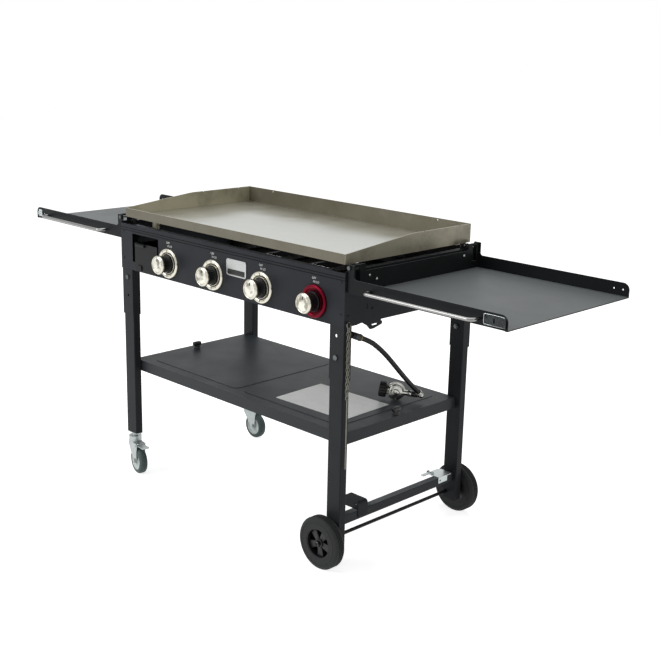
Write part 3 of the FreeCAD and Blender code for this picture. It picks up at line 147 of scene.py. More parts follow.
@dataclass(frozen=True)
class Finish:
    """What every finish shares: a name, a colour and the frame of its node tree."""

    name: str
    colour: str

    def pattern(self, tree: bpy.types.NodeTree, place: bpy.types.Node) -> dict[str | int, object]:
        """Add no nodes, and give the plain colour, which the finishes replace with their own pattern."""
        return {"Base Color": linear_colour(self.colour)}

    def build(self) -> bpy.types.Material:
        """Build the material round the pattern of the finish.

        Returns:
            The material.
        """
        material = bpy.data.materials.new(self.name)
        material.use_nodes = True
        tree = material.node_tree
        tree.nodes.clear()
        place = add_node(tree, "ShaderNodeTexCoord")
        shader = add_node(tree, "ShaderNodeBsdfPrincipled", links=self.pattern(tree, place))
        add_node(tree, "ShaderNodeOutputMaterial", links={"Surface": shader.outputs["BSDF"]})
        return material


@dataclass(frozen=True)
class PowderCoat(Finish):
    """Powder coat on sheet steel: matt black, with a low orange peel that breaks up the gloss."""

    roughness: float = 0.36
    peel_mm: float = 5.0
    peel_height_mm: float = 0.05
    handling_mm: float = 120.0
    worn: str = "#2e3134"
    specular: float = 0.08
    level: str = ""
    dark: str = "#050506"
    grooves: tuple[float, ...] = ()
    groove_half: float = 0.0012
    soot_and_shade_y: float | None = None

    def shaded(
        self,
        tree: bpy.types.NodeTree,
        place: bpy.types.Node,
        tone: bpy.types.NodeSocket,
    ) -> bpy.types.NodeSocket:
        """Lighten the level faces as painted light and painted sheen, and darken the pressed grooves and the inside as
        painted shade, over real soot inside.

        Args:
            tree: The node tree of the material.
            place: The node that gives the coordinates.
            tone: The colour before this.

        Returns:
            The colour after it.
        """
        # Faces that look up are painted lighter: painted light on tops, and painted sheen on the shelf floors.
        if self.level:
            facing = add_node(tree, "ShaderNodeSeparateXYZ", links={"Vector": place.outputs["Normal"]})
            upward = add_node(tree, "ShaderNodeMapRange", links={
                "Value": facing.outputs["Z"], "From Min": 0.7, "From Max": 0.95})
            tone = add_node(tree, "ShaderNodeMix", {"data_type": "RGBA"}, {
                FACTOR: upward.outputs["Result"], MIX_A: tone, MIX_B: linear_colour(self.level)}).outputs[MIXED]
        split = add_node(tree, "ShaderNodeSeparateXYZ", links={"Vector": place.outputs["Object"]})
        # The pressed grooves are painted dark: painted shade.
        masks = [add_node(tree, "ShaderNodeMath", {"operation": "COMPARE"}, {
            0: split.outputs["Z"], 1: groove, 2: self.groove_half}) for groove in self.grooves]
        # Behind this Y the inside is painted dark: painted shade under the plate, over real soot.
        if self.soot_and_shade_y is not None:
            masks.append(add_node(tree, "ShaderNodeMath", {"operation": "LESS_THAN"}, {
                0: split.outputs["Y"], 1: self.soot_and_shade_y}))
        for mask in masks:
            tone = add_node(tree, "ShaderNodeMix", {"data_type": "RGBA"}, {
                FACTOR: mask.outputs[0], MIX_A: tone, MIX_B: linear_colour(self.dark)}).outputs[MIXED]
        return tone

    def pattern(self, tree: bpy.types.NodeTree, place: bpy.types.Node) -> dict[str | int, object]:
        """Add the peel, and the broad patches that handling leaves.

        Args:
            tree: The node tree of the material.
            place: The node that gives the coordinates.

        Returns:
            The inputs of the shader.
        """
        coords = place.outputs["Object"]
        # Real peel is about 1 mm across. It is drawn coarser, so that it shows.
        peel = add_node(tree, "ShaderNodeTexNoise", links={
            "Vector": coords, "Scale": repeats(self.peel_mm), "Detail": 3.0, "Roughness": 0.5})
        bump = add_node(tree, "ShaderNodeBump", links={
            "Height": peel.outputs["Fac"], "Strength": 0.35, "Distance": self.peel_height_mm * MM})
        cloud = add_node(tree, "ShaderNodeTexNoise", links={
            "Vector": coords, "Scale": repeats(self.handling_mm), "Detail": 4.0, "Roughness": 0.6})
        tone = add_node(tree, "ShaderNodeValToRGB", links={"Fac": cloud.outputs["Fac"]},
                        stops=((0.3, self.colour), (0.75, self.worn)))
        gloss = add_node(tree, "ShaderNodeMapRange", links={
            "Value": cloud.outputs["Fac"], "From Min": 0.3, "From Max": 0.7,
            "To Min": self.roughness - 0.03, "To Max": self.roughness + 0.05})
        return {"Base Color": self.shaded(tree, place, tone.outputs["Color"]),
                "Roughness": gloss.outputs["Result"],
                "Normal": bump.outputs["Normal"],
                "Specular IOR Level": self.specular}


@dataclass(frozen=True)
class OiledSteel(Finish):
    """Oiled carbon steel plate: a warm olive film on the walls, and a floor paler away from them as painted
    reflection, with painted light on the side walls and top edges.
    """

    bare_and_reflection: str = "#bcbeb9"
    film: str = "#999789"
    deep: str = "#625d4d"
    thin: str = "#7f7a68"
    # The side colours are painted light on faces that look sideways.
    side: str = "#a19b87"
    inner_side_light: str = "#b3ae98"
    # The edge colour is a painted highlight on the walls' top edges.
    edge: str = "#a9a796"
    floor_top: float = 0.8312
    floor_blend: float = 0.0006
    half_width: float = 0.467
    half_depth: float = 0.248
    inner_face: float = 0.0015
    margin: tuple[float, float] = (0.045, 0.112)
    corner_blend: float = 0.02
    left_spread: float = 0.4
    right_spread: float = 1.3
    front_spread: float = 1.5
    back_spread: float = 0.5
    stain_mm: float = 90.0
    stain_reach: float = 0.04
    roll_mm: float = 2.5
    roll_stretch: tuple[float, float, float] = (0.06, 1.0, 1.0)
    roll_height_mm: float = 0.03

    def floor_tone(
        self,
        tree: bpy.types.NodeTree,
        split: bpy.types.Node,
        stains: bpy.types.Node,
    ) -> bpy.types.NodeSocket:
        """Colour the floor: an olive film by the walls, where the oil pools, fading to a pale floor away from them,
        which is painted reflection of the bright surroundings.

        Args:
            tree: The node tree of the material.
            split: The node that gives X, Y and Z.
            stains: The cloud that makes the edge of the film uneven.

        Returns:
            The colour of the floor.
        """
        nearest = 1.0
        for axis, half, sign, spread in (
                ("X", self.half_width, 1.0, self.left_spread), ("X", self.half_width, -1.0, self.right_spread),
                ("Y", self.half_depth, 1.0, self.front_spread), ("Y", self.half_depth, -1.0, self.back_spread)):
            gap = add_node(tree, "ShaderNodeMath", {"operation": "MULTIPLY_ADD"}, {
                0: split.outputs[axis], 1: sign * spread, 2: half * spread})
            nearest = add_node(tree, "ShaderNodeMath", {"operation": "SMOOTH_MIN"}, {
                0: nearest, 1: gap.outputs[0], 2: self.corner_blend}).outputs[0]
        shift = add_node(tree, "ShaderNodeMath", {"operation": "MULTIPLY_ADD"}, {
            0: stains.outputs["Fac"], 1: self.stain_reach, 2: -self.stain_reach / 2})
        reach = add_node(tree, "ShaderNodeMath", {"operation": "ADD"}, {0: nearest, 1: shift.outputs[0]})
        # The fade from film to pale floor is painted reflection, over a real oil film by the walls. Its reach differs
        # by side.
        open_floor_reflection = add_node(tree, "ShaderNodeMapRange", {"interpolation_type": "SMOOTHSTEP"}, {
            "Value": reach.outputs[0], "From Min": self.margin[0], "From Max": self.margin[1]})
        return add_node(tree, "ShaderNodeMix", {"data_type": "RGBA"}, {
            FACTOR: open_floor_reflection.outputs["Result"], MIX_A: linear_colour(self.film),
            MIX_B: linear_colour(self.bare_and_reflection)}).outputs[MIXED]

    def wall_tone(
        self,
        tree: bpy.types.NodeTree,
        split: bpy.types.Node,
        facing: bpy.types.Node,
        stains: bpy.types.Node,
    ) -> bpy.types.NodeSocket:
        """Colour the walls: stained film, painted lighter on the side walls as painted light, and pale on the top
        edges as a painted highlight.

        Args:
            tree: The node tree of the material.
            split: The node that gives X, Y and Z.
            facing: The node that gives the way that the face looks.
            stains: The cloud that makes the film uneven.

        Returns:
            The colour of the walls.
        """
        film = add_node(tree, "ShaderNodeValToRGB", links={"Fac": stains.outputs["Fac"]},
                        stops=((0.28, self.deep), (0.62, self.colour), (0.8, self.thin)))
        # Faces that look sideways are painted lighter, the inner side walls most: painted light.
        sideways = add_node(tree, "ShaderNodeMath", {"operation": "ABSOLUTE"}, {0: facing.outputs["X"]})
        from_middle = add_node(tree, "ShaderNodeMath", {"operation": "ABSOLUTE"}, {0: split.outputs["X"]})
        inner = add_node(tree, "ShaderNodeMath", {"operation": "LESS_THAN"}, {
            0: from_middle.outputs[0], 1: self.half_width + self.inner_face})
        side = add_node(tree, "ShaderNodeMix", {"data_type": "RGBA"}, {
            FACTOR: inner.outputs[0], MIX_A: linear_colour(self.side), MIX_B: linear_colour(self.inner_side_light)})
        sideways_light = add_node(tree, "ShaderNodeMapRange", links={
            "Value": stains.outputs["Fac"], "From Min": 0.1, "From Max": 0.5, "To Max": sideways.outputs[0]})
        flanks = add_node(tree, "ShaderNodeMix", {"data_type": "RGBA"}, {
            FACTOR: sideways_light.outputs["Result"], MIX_A: film.outputs["Color"], MIX_B: side.outputs[MIXED]})
        # Faces that look up, above the floor, are the walls' top edges, painted pale: a painted highlight.
        upward = add_node(tree, "ShaderNodeMapRange", links={
            "Value": facing.outputs["Z"], "From Min": 0.75, "From Max": 0.95})
        above = add_node(tree, "ShaderNodeMath", {"operation": "GREATER_THAN"}, {
            0: split.outputs["Z"], 1: self.floor_top})
        edge_highlight = add_node(tree, "ShaderNodeMath", {"operation": "MULTIPLY"}, {
            0: upward.outputs["Result"], 1: above.outputs[0]})
        return add_node(tree, "ShaderNodeMix", {"data_type": "RGBA"}, {
            FACTOR: edge_highlight.outputs[0], MIX_A: flanks.outputs[MIXED],
            MIX_B: linear_colour(self.edge)}).outputs[MIXED]

    def pattern(self, tree: bpy.types.NodeTree, place: bpy.types.Node) -> dict[str | int, object]:
        """Tell the floor from the walls, and lay the rolled grain over both.

        Args:
            tree: The node tree of the material.
            place: The node that gives the coordinates.

        Returns:
            The inputs of the shader.
        """
        coords = place.outputs["Object"]
        split = add_node(tree, "ShaderNodeSeparateXYZ", links={"Vector": coords})
        facing = add_node(tree, "ShaderNodeSeparateXYZ", links={"Vector": place.outputs["Normal"]})
        stains = add_node(tree, "ShaderNodeTexNoise", links={
            "Vector": coords, "Scale": repeats(self.stain_mm), "Detail": 6.0, "Roughness": 0.65})
        low = add_node(tree, "ShaderNodeMapRange", links={
            "Value": split.outputs["Z"], "From Min": self.floor_top,
            "From Max": self.floor_top - self.floor_blend})
        is_floor = add_node(tree, "ShaderNodeMapRange", links={
            "Value": facing.outputs["Z"], "From Min": 0.4, "From Max": 0.8, "To Max": low.outputs["Result"]})
        colour = add_node(tree, "ShaderNodeMix", {"data_type": "RGBA"}, {
            FACTOR: is_floor.outputs["Result"], MIX_A: self.wall_tone(tree, split, facing, stains),
            MIX_B: self.floor_tone(tree, split, stains)})
        metal = add_node(tree, "ShaderNodeMapRange", links={
            "Value": is_floor.outputs["Result"], "To Min": 0.35, "To Max": 0.8})
        # Rolled grain is finer than a hair. It is drawn coarser, so that it shows.
        stretched = add_node(tree, "ShaderNodeMapping", links={"Vector": coords, "Scale": self.roll_stretch})
        grain = add_node(tree, "ShaderNodeTexNoise", links={
            "Vector": stretched.outputs["Vector"], "Scale": repeats(self.roll_mm), "Detail": 3.0})
        bump = add_node(tree, "ShaderNodeBump", links={
            "Height": grain.outputs["Fac"], "Strength": 0.25, "Distance": self.roll_height_mm * MM})
        gloss = add_node(tree, "ShaderNodeMapRange", links={
            "Value": stains.outputs["Fac"], "From Min": 0.3, "From Max": 0.7, "To Min": 0.28, "To Max": 0.4})
        return {"Base Color": colour.outputs[MIXED], "Roughness": gloss.outputs["Result"],
                "Normal": bump.outputs["Normal"], "Metallic": metal.outputs["Result"]}


@dataclass(frozen=True)
class PlatedMetal(Finish):
    """Plated, cast or polished metal: bright, with faint hairlines or a soft cloud in the gloss."""

    roughness: float = 0.12
    grain_mm: float = 1.5
    stretch: tuple[float, float, float] = (1.0, 1.0, 1.0)
    cloud: str = "#ffffff"
    ramp: tuple[float, float] = (0.35, 0.7)
    relief_mm: float = 0.02

    def pattern(self, tree: bpy.types.NodeTree, place: bpy.types.Node) -> dict[str | int, object]:
        """Add the grain, which carries colour, gloss and relief together.

        Args:
            tree: The node tree of the material.
            place: The node that gives the coordinates.

        Returns:
            The inputs of the shader.
        """
        # Polishing lines are finer than a hair. They are drawn coarser, so that they show.
        mapped = add_node(tree, "ShaderNodeMapping", links={
            "Vector": place.outputs["Object"], "Scale": self.stretch})
        grain = add_node(tree, "ShaderNodeTexNoise", links={
            "Vector": mapped.outputs["Vector"], "Scale": repeats(self.grain_mm), "Detail": 3.0})
        tone = add_node(tree, "ShaderNodeValToRGB", links={"Fac": grain.outputs["Fac"]},
                        stops=((self.ramp[0], self.colour), (self.ramp[1], self.cloud)))
        gloss = add_node(tree, "ShaderNodeMapRange", links={
            "Value": grain.outputs["Fac"], "From Min": 0.35, "From Max": 0.65,
            "To Min": self.roughness * 0.8, "To Max": self.roughness * 1.3})
        bump = add_node(tree, "ShaderNodeBump", links={
            "Height": grain.outputs["Fac"], "Strength": 0.12, "Distance": self.relief_mm * MM})
        return {"Base Color": tone.outputs["Color"], "Roughness": gloss.outputs["Result"],
                "Normal": bump.outputs["Normal"], "Metallic": 1.0}


@dataclass(frozen=True)
class ZincPlate(Finish):
    """Zinc plated steel: dull silver, with a faint mottle of crystals."""

    crystal: str = "#c2c6c6"
    crystal_mm: float = 4.0
    roughness: float = 0.34

    def pattern(self, tree: bpy.types.NodeTree, place: bpy.types.Node) -> dict[str | int, object]:
        """Add the crystals.

        Args:
            tree: The node tree of the material.
            place: The node that gives the coordinates.

        Returns:
            The inputs of the shader.
        """
        # Plated crystals are far below 1 mm. They are drawn coarser, so that they show.
        cells = add_node(tree, "ShaderNodeTexVoronoi", links={
            "Vector": place.outputs["Object"], "Scale": repeats(self.crystal_mm)})
        tone = add_node(tree, "ShaderNodeValToRGB", links={"Fac": cells.outputs["Distance"]},
                        stops=((0.1, self.crystal), (0.7, self.colour)))
        gloss = add_node(tree, "ShaderNodeMapRange", links={
            "Value": cells.outputs["Distance"], "From Min": 0.0, "From Max": 0.8,
            "To Min": self.roughness - 0.06, "To Max": self.roughness + 0.08})
        return {"Base Color": tone.outputs["Color"], "Roughness": gloss.outputs["Result"], "Metallic": 0.9}


@dataclass(frozen=True)
class MouldedPlastic(Finish):
    """Moulded nylon or phenolic: a soft even sheen over a fine spark texture."""

    roughness: float = 0.42
    spark_mm: float = 1.2
    flow_mm: float = 25.0
    pale: str = "#2a2b2d"
    specular: float = 0.4

    def pattern(self, tree: bpy.types.NodeTree, place: bpy.types.Node) -> dict[str | int, object]:
        """Add the spark texture, and the clouds that the flow in the mould leaves.

        Args:
            tree: The node tree of the material.
            place: The node that gives the coordinates.

        Returns:
            The inputs of the shader.
        """
        coords = place.outputs["Object"]
        # Spark texture is about 0.2 mm across. It is drawn coarser, so that it shows.
        spark = add_node(tree, "ShaderNodeTexNoise", links={
            "Vector": coords, "Scale": repeats(self.spark_mm), "Detail": 2.0})
        bump = add_node(tree, "ShaderNodeBump", links={
            "Height": spark.outputs["Fac"], "Strength": 0.3, "Distance": 0.05 * MM})
        flow = add_node(tree, "ShaderNodeTexNoise", links={
            "Vector": coords, "Scale": repeats(self.flow_mm), "Detail": 3.0})
        tone = add_node(tree, "ShaderNodeValToRGB", links={"Fac": flow.outputs["Fac"]},
                        stops=((0.35, self.colour), (0.7, self.pale)))
        return {"Base Color": tone.outputs["Color"], "Normal": bump.outputs["Normal"],
                "Roughness": self.roughness, "Specular IOR Level": self.specular}


@dataclass(frozen=True)
class Rubber(Finish):
    """Moulded or extruded rubber: matt, and dusty on the high spots."""

    dust: str = "#3a3d3f"
    roughness: float = 0.72
    mottle_mm: float = 6.0
    specular: float = 0.5

    def pattern(self, tree: bpy.types.NodeTree, place: bpy.types.Node) -> dict[str | int, object]:
        """Add the dusty mottle, which is also the relief.

        Args:
            tree: The node tree of the material.
            place: The node that gives the coordinates.

        Returns:
            The inputs of the shader.
        """
        mottle = add_node(tree, "ShaderNodeTexNoise", links={
            "Vector": place.outputs["Object"], "Scale": repeats(self.mottle_mm), "Detail": 5.0,
            "Roughness": 0.6})
        tone = add_node(tree, "ShaderNodeValToRGB", links={"Fac": mottle.outputs["Fac"]},
                        stops=((0.35, self.colour), (0.75, self.dust)))
        bump = add_node(tree, "ShaderNodeBump", links={
            "Height": mottle.outputs["Fac"], "Strength": 0.3, "Distance": 0.12 * MM})
        return {"Base Color": tone.outputs["Color"], "Normal": bump.outputs["Normal"],
                "Roughness": self.roughness, "Specular IOR Level": self.specular}


@dataclass(frozen=True)
class CoatedSheet(Finish):
    """Coated paper sheet: pale and a little handled, with soft grey patches."""

    patch: str = "#eef0ee"
    patch_mm: float = 45.0
    fibre_mm: float = 1.5
    roughness: float = 0.35

    def pattern(self, tree: bpy.types.NodeTree, place: bpy.types.Node) -> dict[str | int, object]:
        """Add the handled patches and the fibres.

        Args:
            tree: The node tree of the material.
            place: The node that gives the coordinates.

        Returns:
            The inputs of the shader.
        """
        coords = place.outputs["Object"]
        patches = add_node(tree, "ShaderNodeTexNoise", links={
            "Vector": coords, "Scale": repeats(self.patch_mm), "Detail": 5.0, "Roughness": 0.6})
        tone = add_node(tree, "ShaderNodeValToRGB", links={"Fac": patches.outputs["Fac"]},
                        stops=((0.35, self.colour), (0.7, self.patch)))
        # Paper fibres are a few hundredths of a millimetre thick. They are drawn coarser, so that they show.
        fibre = add_node(tree, "ShaderNodeTexNoise", links={
            "Vector": coords, "Scale": repeats(self.fibre_mm), "Detail": 2.0})
        bump = add_node(tree, "ShaderNodeBump", links={
            "Height": fibre.outputs["Fac"], "Strength": 0.2, "Distance": 0.03 * MM})
        return {"Base Color": tone.outputs["Color"], "Normal": bump.outputs["Normal"],
                "Roughness": self.roughness}


class Palette:
    """Every finish of the station, built once."""

    def __init__(self) -> None:
        """Build the materials."""
        # Powder coats: one black coat, in copies made cooler, paler or deeper by place as painted light and shade,
        # each with its own gloss and wear.
        # The panel reads as a flat blue-black, with two pressed lines painted darker as painted shade.
        self.panel_black = PowderCoat("powder_coat_panel", "#2a2c30", worn="#323539",
                                      grooves=(0.795, 0.788)).build()
        # The sides read as a plain soft black.
        self.sheet_black = PowderCoat("powder_coat_black", "#26282b").build()
        # Tubes show a slightly paler, greyer black on their flat faces.
        self.tube_black = PowderCoat("powder_coat_tube", "#292b2d", worn="#313336", roughness=0.4).build()
        # The low rail is painted grey for the floor's light, with a paler top: painted light.
        self.rail_black = PowderCoat("powder_coat_rail", "#393b3e", worn="#414346", roughness=0.4,
                                     level="#6e7376").build()
        # The rear sheet is black outside, and its inside is painted black as painted shade under the plate, over real
        # soot.
        self.rear_black = PowderCoat("powder_coat_rear", "#26282b", soot_and_shade_y=0.26).build()
        # The side shelves have deep black walls, darkened as painted shade, and an even grey floor that is painted
        # sheen.
        self.tray_black = PowderCoat("powder_coat_tray", "#17191a", worn="#1e2022", roughness=0.42, peel_mm=7.0,
                                     specular=0.1, level="#5e6263").build()
        # The lower shelf is painted a cool dark grey for its sheen, and lighter on top as painted light.
        self.shelf_black = PowderCoat("powder_coat_shelf", "#303336", worn="#36393b", roughness=0.42,
                                      peel_mm=7.0, specular=0.15, level="#3b4044").build()
        # The cup and the axle are the darkest coat, with a weak gleam.
        self.cup_black = PowderCoat("powder_coat_cup", "#101113", worn="#17181a", specular=0.15).build()
        # Coat that the burners have scorched, and darker still as painted shade inside the firebox: flat, with no
        # gleam at all.
        self.soot_and_shade = PowderCoat("fire_blackened_and_shaded_coat", "#060606", worn="#0b0a0a", roughness=0.7, peel_mm=9.0,
                               specular=0.05).build()
        # Rolled plate under cooking oil: warm olive walls round a floor painted silvery as painted reflection.
        self.plate = OiledSteel("oiled_plate_steel", "#6c685a").build()
        # Metals: nickel and chrome plate is a warm mirror.
        self.chrome = PlatedMetal("nickel_chrome", "#b8b5a8", roughness=0.12, cloud="#d0cdc0").build()
        # Satin nickel spreads the lamps into a broad soft patch, and its wide cloud of dark and pale patches is
        # painted reflection.
        self.cap = PlatedMetal("satin_nickel_painted_reflection", "#8a887c", roughness=0.26, grain_mm=22.0, cloud="#d2d0c6",
                               ramp=(0.38, 0.52)).build()
        # Brushed nickel draws the light out along its lines.
        self.badge = PlatedMetal("brushed_nickel", "#a4a5a5", roughness=0.3, stretch=(0.05, 1.0, 1.0),
                                 cloud="#bcbdbd").build()
        # Anodised aluminium gives a deep wine red that still shines as metal.
        self.red = PlatedMetal("red_anodised_aluminium", "#560a18", roughness=0.3, cloud="#6e1426").build()
        # Drawn and polished tube is a clean grey with long even gleams, and its draw lines are drawn coarse.
        self.rail = PlatedMetal("polished_steel_tube", "#858584", roughness=0.24, grain_mm=8.0,
                                stretch=(0.1, 1.0, 1.0), cloud="#949493", relief_mm=0.004).build()
        # Stainless steel that the flame has darkened, and darker still as painted shade inside the firebox, hardly
        # shines.
        self.stainless = PlatedMetal("heat_darkened_and_shaded_stainless", "#0c0b0a", roughness=0.5, grain_mm=3.0,
                                     cloud="#161513").build()
        # Turned brass is a muted yellow.
        self.brass = PlatedMetal("turned_brass", "#7d6c42", roughness=0.35, cloud="#93805a").build()
        # Die-cast zinc is bright and a little cloudy, with the flow marks of the mould drawn coarse.
        self.die_cast = PlatedMetal("die_cast_zinc", "#aaa9a2", roughness=0.2, grain_mm=9.0,
                                    cloud="#cfcfca").build()
        # Fresh zinc plate is a pale cold silver.
        self.zinc = ZincPlate("zinc_plate", "#c8d1d0").build()
        # The caster forks are a duller copy of the zinc plate: painted shade.
        self.fork_zinc = ZincPlate("pressed_zinc_plate_painted_shade", "#a0a8a7", crystal="#b2b8b7").build()
        # The bolts are a dim grey copy of the zinc plate.
        self.dull_zinc = ZincPlate("dull_zinc_plate", "#4c4f50", crystal="#666a6b", roughness=0.3).build()
        # Passivated zinc is nearly black, with a thin metal gleam.
        self.dark_zinc = ZincPlate("dark_zinc_plate", "#2c2e2f", crystal="#3e4142", roughness=0.32).build()
        # Drawn steel wire of the chain is a dull brownish grey.
        self.chain = ZincPlate("drawn_steel_wire", "#7d7c71", crystal="#64635a", roughness=0.36).build()
        # Plastics: moulded nylon is a soft black.
        self.plastic = MouldedPlastic("moulded_black_nylon", "#0d0e0f", pale="#16171a").build()
        # Moulded phenolic is deeper and a touch smoother.
        self.phenolic = MouldedPlastic("moulded_black_phenolic", "#0a0a0b", roughness=0.34, pale="#131415",
                                       specular=0.25).build()
        # Pale nylon of the caster cores is milky, with a green cast.
        self.grey_plastic = MouldedPlastic("moulded_pale_nylon", "#ccd6d3", roughness=0.5, pale="#dae0de").build()
        # Printed ink is a flat off-white.
        self.ink = MouldedPlastic("printed_pale_ink", "#e0e0dc", roughness=0.5, pale="#ecece8").build()
        # Rubbers: the large tyres are matt black.
        self.tyre = Rubber("moulded_black_rubber", "#0f1011", dust="#1e2022", specular=0.4).build()
        # The caster tyres are a matt green grey.
        self.grey_tyre = Rubber("moulded_grey_rubber", "#424e4d", dust="#566564", roughness=0.6,
                                specular=0.3).build()
        # The hose is extruded, so it is black with a narrow gleam along it.
        self.hose = Rubber("extruded_hose_rubber", "#060607", dust="#0e0f10", roughness=0.38, mottle_mm=3.0,
                           specular=0.17).build()
        # The sheet on the shelf is white with a faint sheen.
        self.sheet = CoatedSheet("coated_paper", "#fafbfa").build()


# Mesh helpers


def to_object(
    name: str,
    shape: bmesh.types.BMesh,
    material: bpy.types.Material,
    body: str,
    stands_for: Iterable[str] = (),
    smooth_degrees: float = 38.0,
) -> bpy.types.Object:
    """Turn a finished shape into a piece that rides on a body.

    Args:
        name: The piece's name.
        shape: Its mesh, in place in the row frame. It is freed here.
        material: Its finish.
        body: The body that carries it.
        stands_for: CAD nodes that it replaces.
        smooth_degrees: Edges that turn by more than this stay sharp.

    Returns:
        The new object.
    """
    mesh = bpy.data.meshes.new(name)
    shape.to_mesh(mesh)
    shape.free()
    mesh.materials.append(material)
    mesh.shade_smooth()
    mesh.set_sharp_from_angle(angle=math.radians(smooth_degrees))
    piece = bpy.data.objects.new(name, mesh)
    bpy.context.scene.collection.objects.link(piece)
    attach(piece, body)
    nodes = list(stands_for)
    if nodes:
        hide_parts(*nodes)
    return piece


def place_on_axis(origin: Vector, direction: Vector) -> Matrix:
    """Give the matrix that takes local Z to a direction from an origin."""
    return Matrix.Translation(origin) @ direction.normalized().to_track_quat("Z", "Y").to_matrix().to_4x4()


def turn_about(axis: str, degrees: float) -> Matrix:
    """Give the matrix of a turn about an axis of the frame."""
    return Matrix.Rotation(math.radians(degrees), 4, axis)


def lathe(profile: Sequence[tuple[float, float]], steps: int = 48, closed: bool = False) -> bmesh.types.BMesh:
    """Turn a profile about local Z.

    Args:
        profile: Points as (height along Z, radius), from one end to the other.
        steps: Segments round the axis.
        closed: Whether the profile is a loop, as on a ring.

    Returns:
        The turned shape, with faces outwards.
    """
    shape = bmesh.new()
    corners = [shape.verts.new((radius, 0.0, height)) for height, radius in profile]
    edges = [shape.edges.new(pair) for pair in zip(corners, corners[1:])]
    if closed:
        edges.append(shape.edges.new((corners[-1], corners[0])))
    bmesh.ops.spin(shape, geom=corners + edges, cent=(0, 0, 0), axis=(0, 0, 1), angle=math.tau,
                   steps=steps, use_merge=True)
    bmesh.ops.remove_doubles(shape, verts=shape.verts, dist=MERGE)
    bmesh.ops.recalc_face_normals(shape, faces=shape.faces)
    return shape


def block(low: Sequence[float], high: Sequence[float], bevel: float = 0.0, segments: int = 3) -> bmesh.types.BMesh:
    """Make a box with rounded edges.

    Args:
        low: Lowest corner.
        high: Highest corner.
        bevel: Radius of the rounding, 0 for none.
        segments: Segments of the rounding.

    Returns:
        The box.
    """
    shape = bmesh.new()
    bmesh.ops.create_cube(shape, size=1.0)
    size = [b - a for a, b in zip(low, high)]
    middle = [(a + b) / 2 for a, b in zip(low, high)]
    bmesh.ops.scale(shape, vec=size, verts=shape.verts)
    bmesh.ops.translate(shape, vec=middle, verts=shape.verts)
    if bevel > 0:
        bmesh.ops.bevel(shape, geom=list(shape.edges), offset=bevel, affect="EDGES", segments=segments,
                        profile=0.5, material=-1)
    return shape


def moved(shape: bmesh.types.BMesh, matrix: Matrix) -> bmesh.types.BMesh:
    """Transform a whole shape.

    Args:
        shape: The shape, which is changed in place.
        matrix: The move, turn or mirror.

    Returns:
        The same shape.
    """
    bmesh.ops.transform(shape, matrix=matrix, verts=shape.verts)
    if matrix.determinant() < 0:
        bmesh.ops.reverse_faces(shape, faces=shape.faces)
    return shape


def joined(shapes: Iterable[bmesh.types.BMesh]) -> bmesh.types.BMesh:
    """Gather several shapes into one.

    Args:
        shapes: The shapes. They are freed here.

    Returns:
        One shape that holds them all.
    """
    whole = bmesh.new()
    for shape in shapes:
        mesh = bpy.data.meshes.new("part")
        shape.to_mesh(mesh)
        shape.free()
        whole.from_mesh(mesh)
        bpy.data.meshes.remove(mesh)
    return whole


def round_line(
    name: str,
    points: Sequence[Sequence[float]],
    radius: float,
    steps: int,
    roundness: int,
    closed: bool = False,
) -> bpy.types.Curve:
    """Draw a smooth round line.

    Args:
        name: Its name.
        points: Control points of the line.
        radius: Half its thickness.
        steps: Steps from one point to the next.
        roundness: Steps in a quarter of its section.
        closed: Whether it is a loop.

    Returns:
        The curve.
    """
    curve = bpy.data.curves.new(name, "CURVE")
    curve.dimensions = "3D"
    curve.bevel_depth = radius
    curve.bevel_resolution = roundness
    curve.resolution_u = steps
    curve.use_fill_caps = True
    spline = curve.splines.new("NURBS")
    spline.points.add(len(points) - 1)
    for point, place in zip(spline.points, points):
        point.co = (*place, 1.0)
    spline.order_u = 3
    spline.use_cyclic_u = closed
    spline.use_endpoint_u = not closed
    return curve


def surface_of(curve: bpy.types.Curve) -> bmesh.types.BMesh:
    """Turn a curve or lettering into a shape.

    Args:
        curve: The curve. It is removed here.

    Returns:
        Its surface.
    """
    holder = bpy.data.objects.new(curve.name, curve)
    bpy.context.scene.collection.objects.link(holder)
    mesh = bpy.data.meshes.new_from_object(holder)
    shape = bmesh.new()
    shape.from_mesh(mesh)
    bpy.data.objects.remove(holder)
    bpy.data.curves.remove(curve)
    bpy.data.meshes.remove(mesh)
    return shape


def wire(points: Sequence[Vector], radius: float, closed: bool = False) -> bmesh.types.BMesh:
    """Make a round wire that follows smooth points.

    Args:
        points: Control points of its line.
        radius: Half its thickness.
        closed: Whether it is a loop.

    Returns:
        The wire's surface.
    """
    shape = surface_of(round_line("wire", points, radius, steps=6, roundness=3, closed=closed))
    bmesh.ops.remove_doubles(shape, verts=shape.verts, dist=MERGE)
    bmesh.ops.recalc_face_normals(shape, faces=shape.faces)
    return shape


def screw_head(centre: Vector, outward: Vector, radius: float, height: float) -> bmesh.types.BMesh:
    """Make a domed screw head with a driver recess.

    Args:
        centre: Where its flat side sits.
        outward: The way it faces.
        radius: Its radius.
        height: Its height.

    Returns:
        The head.
    """
    profile = ((0.0, 0.0), (0.0, radius), (height * 0.45, radius * 0.96), (height * 0.8, radius * 0.75),
               (height, radius * 0.42), (height * 0.98, radius * 0.3), (height * 0.45, radius * 0.24),
               (height * 0.45, 0.0))
    return moved(lathe(profile, 20), place_on_axis(centre, outward))


# Sub-assemblies


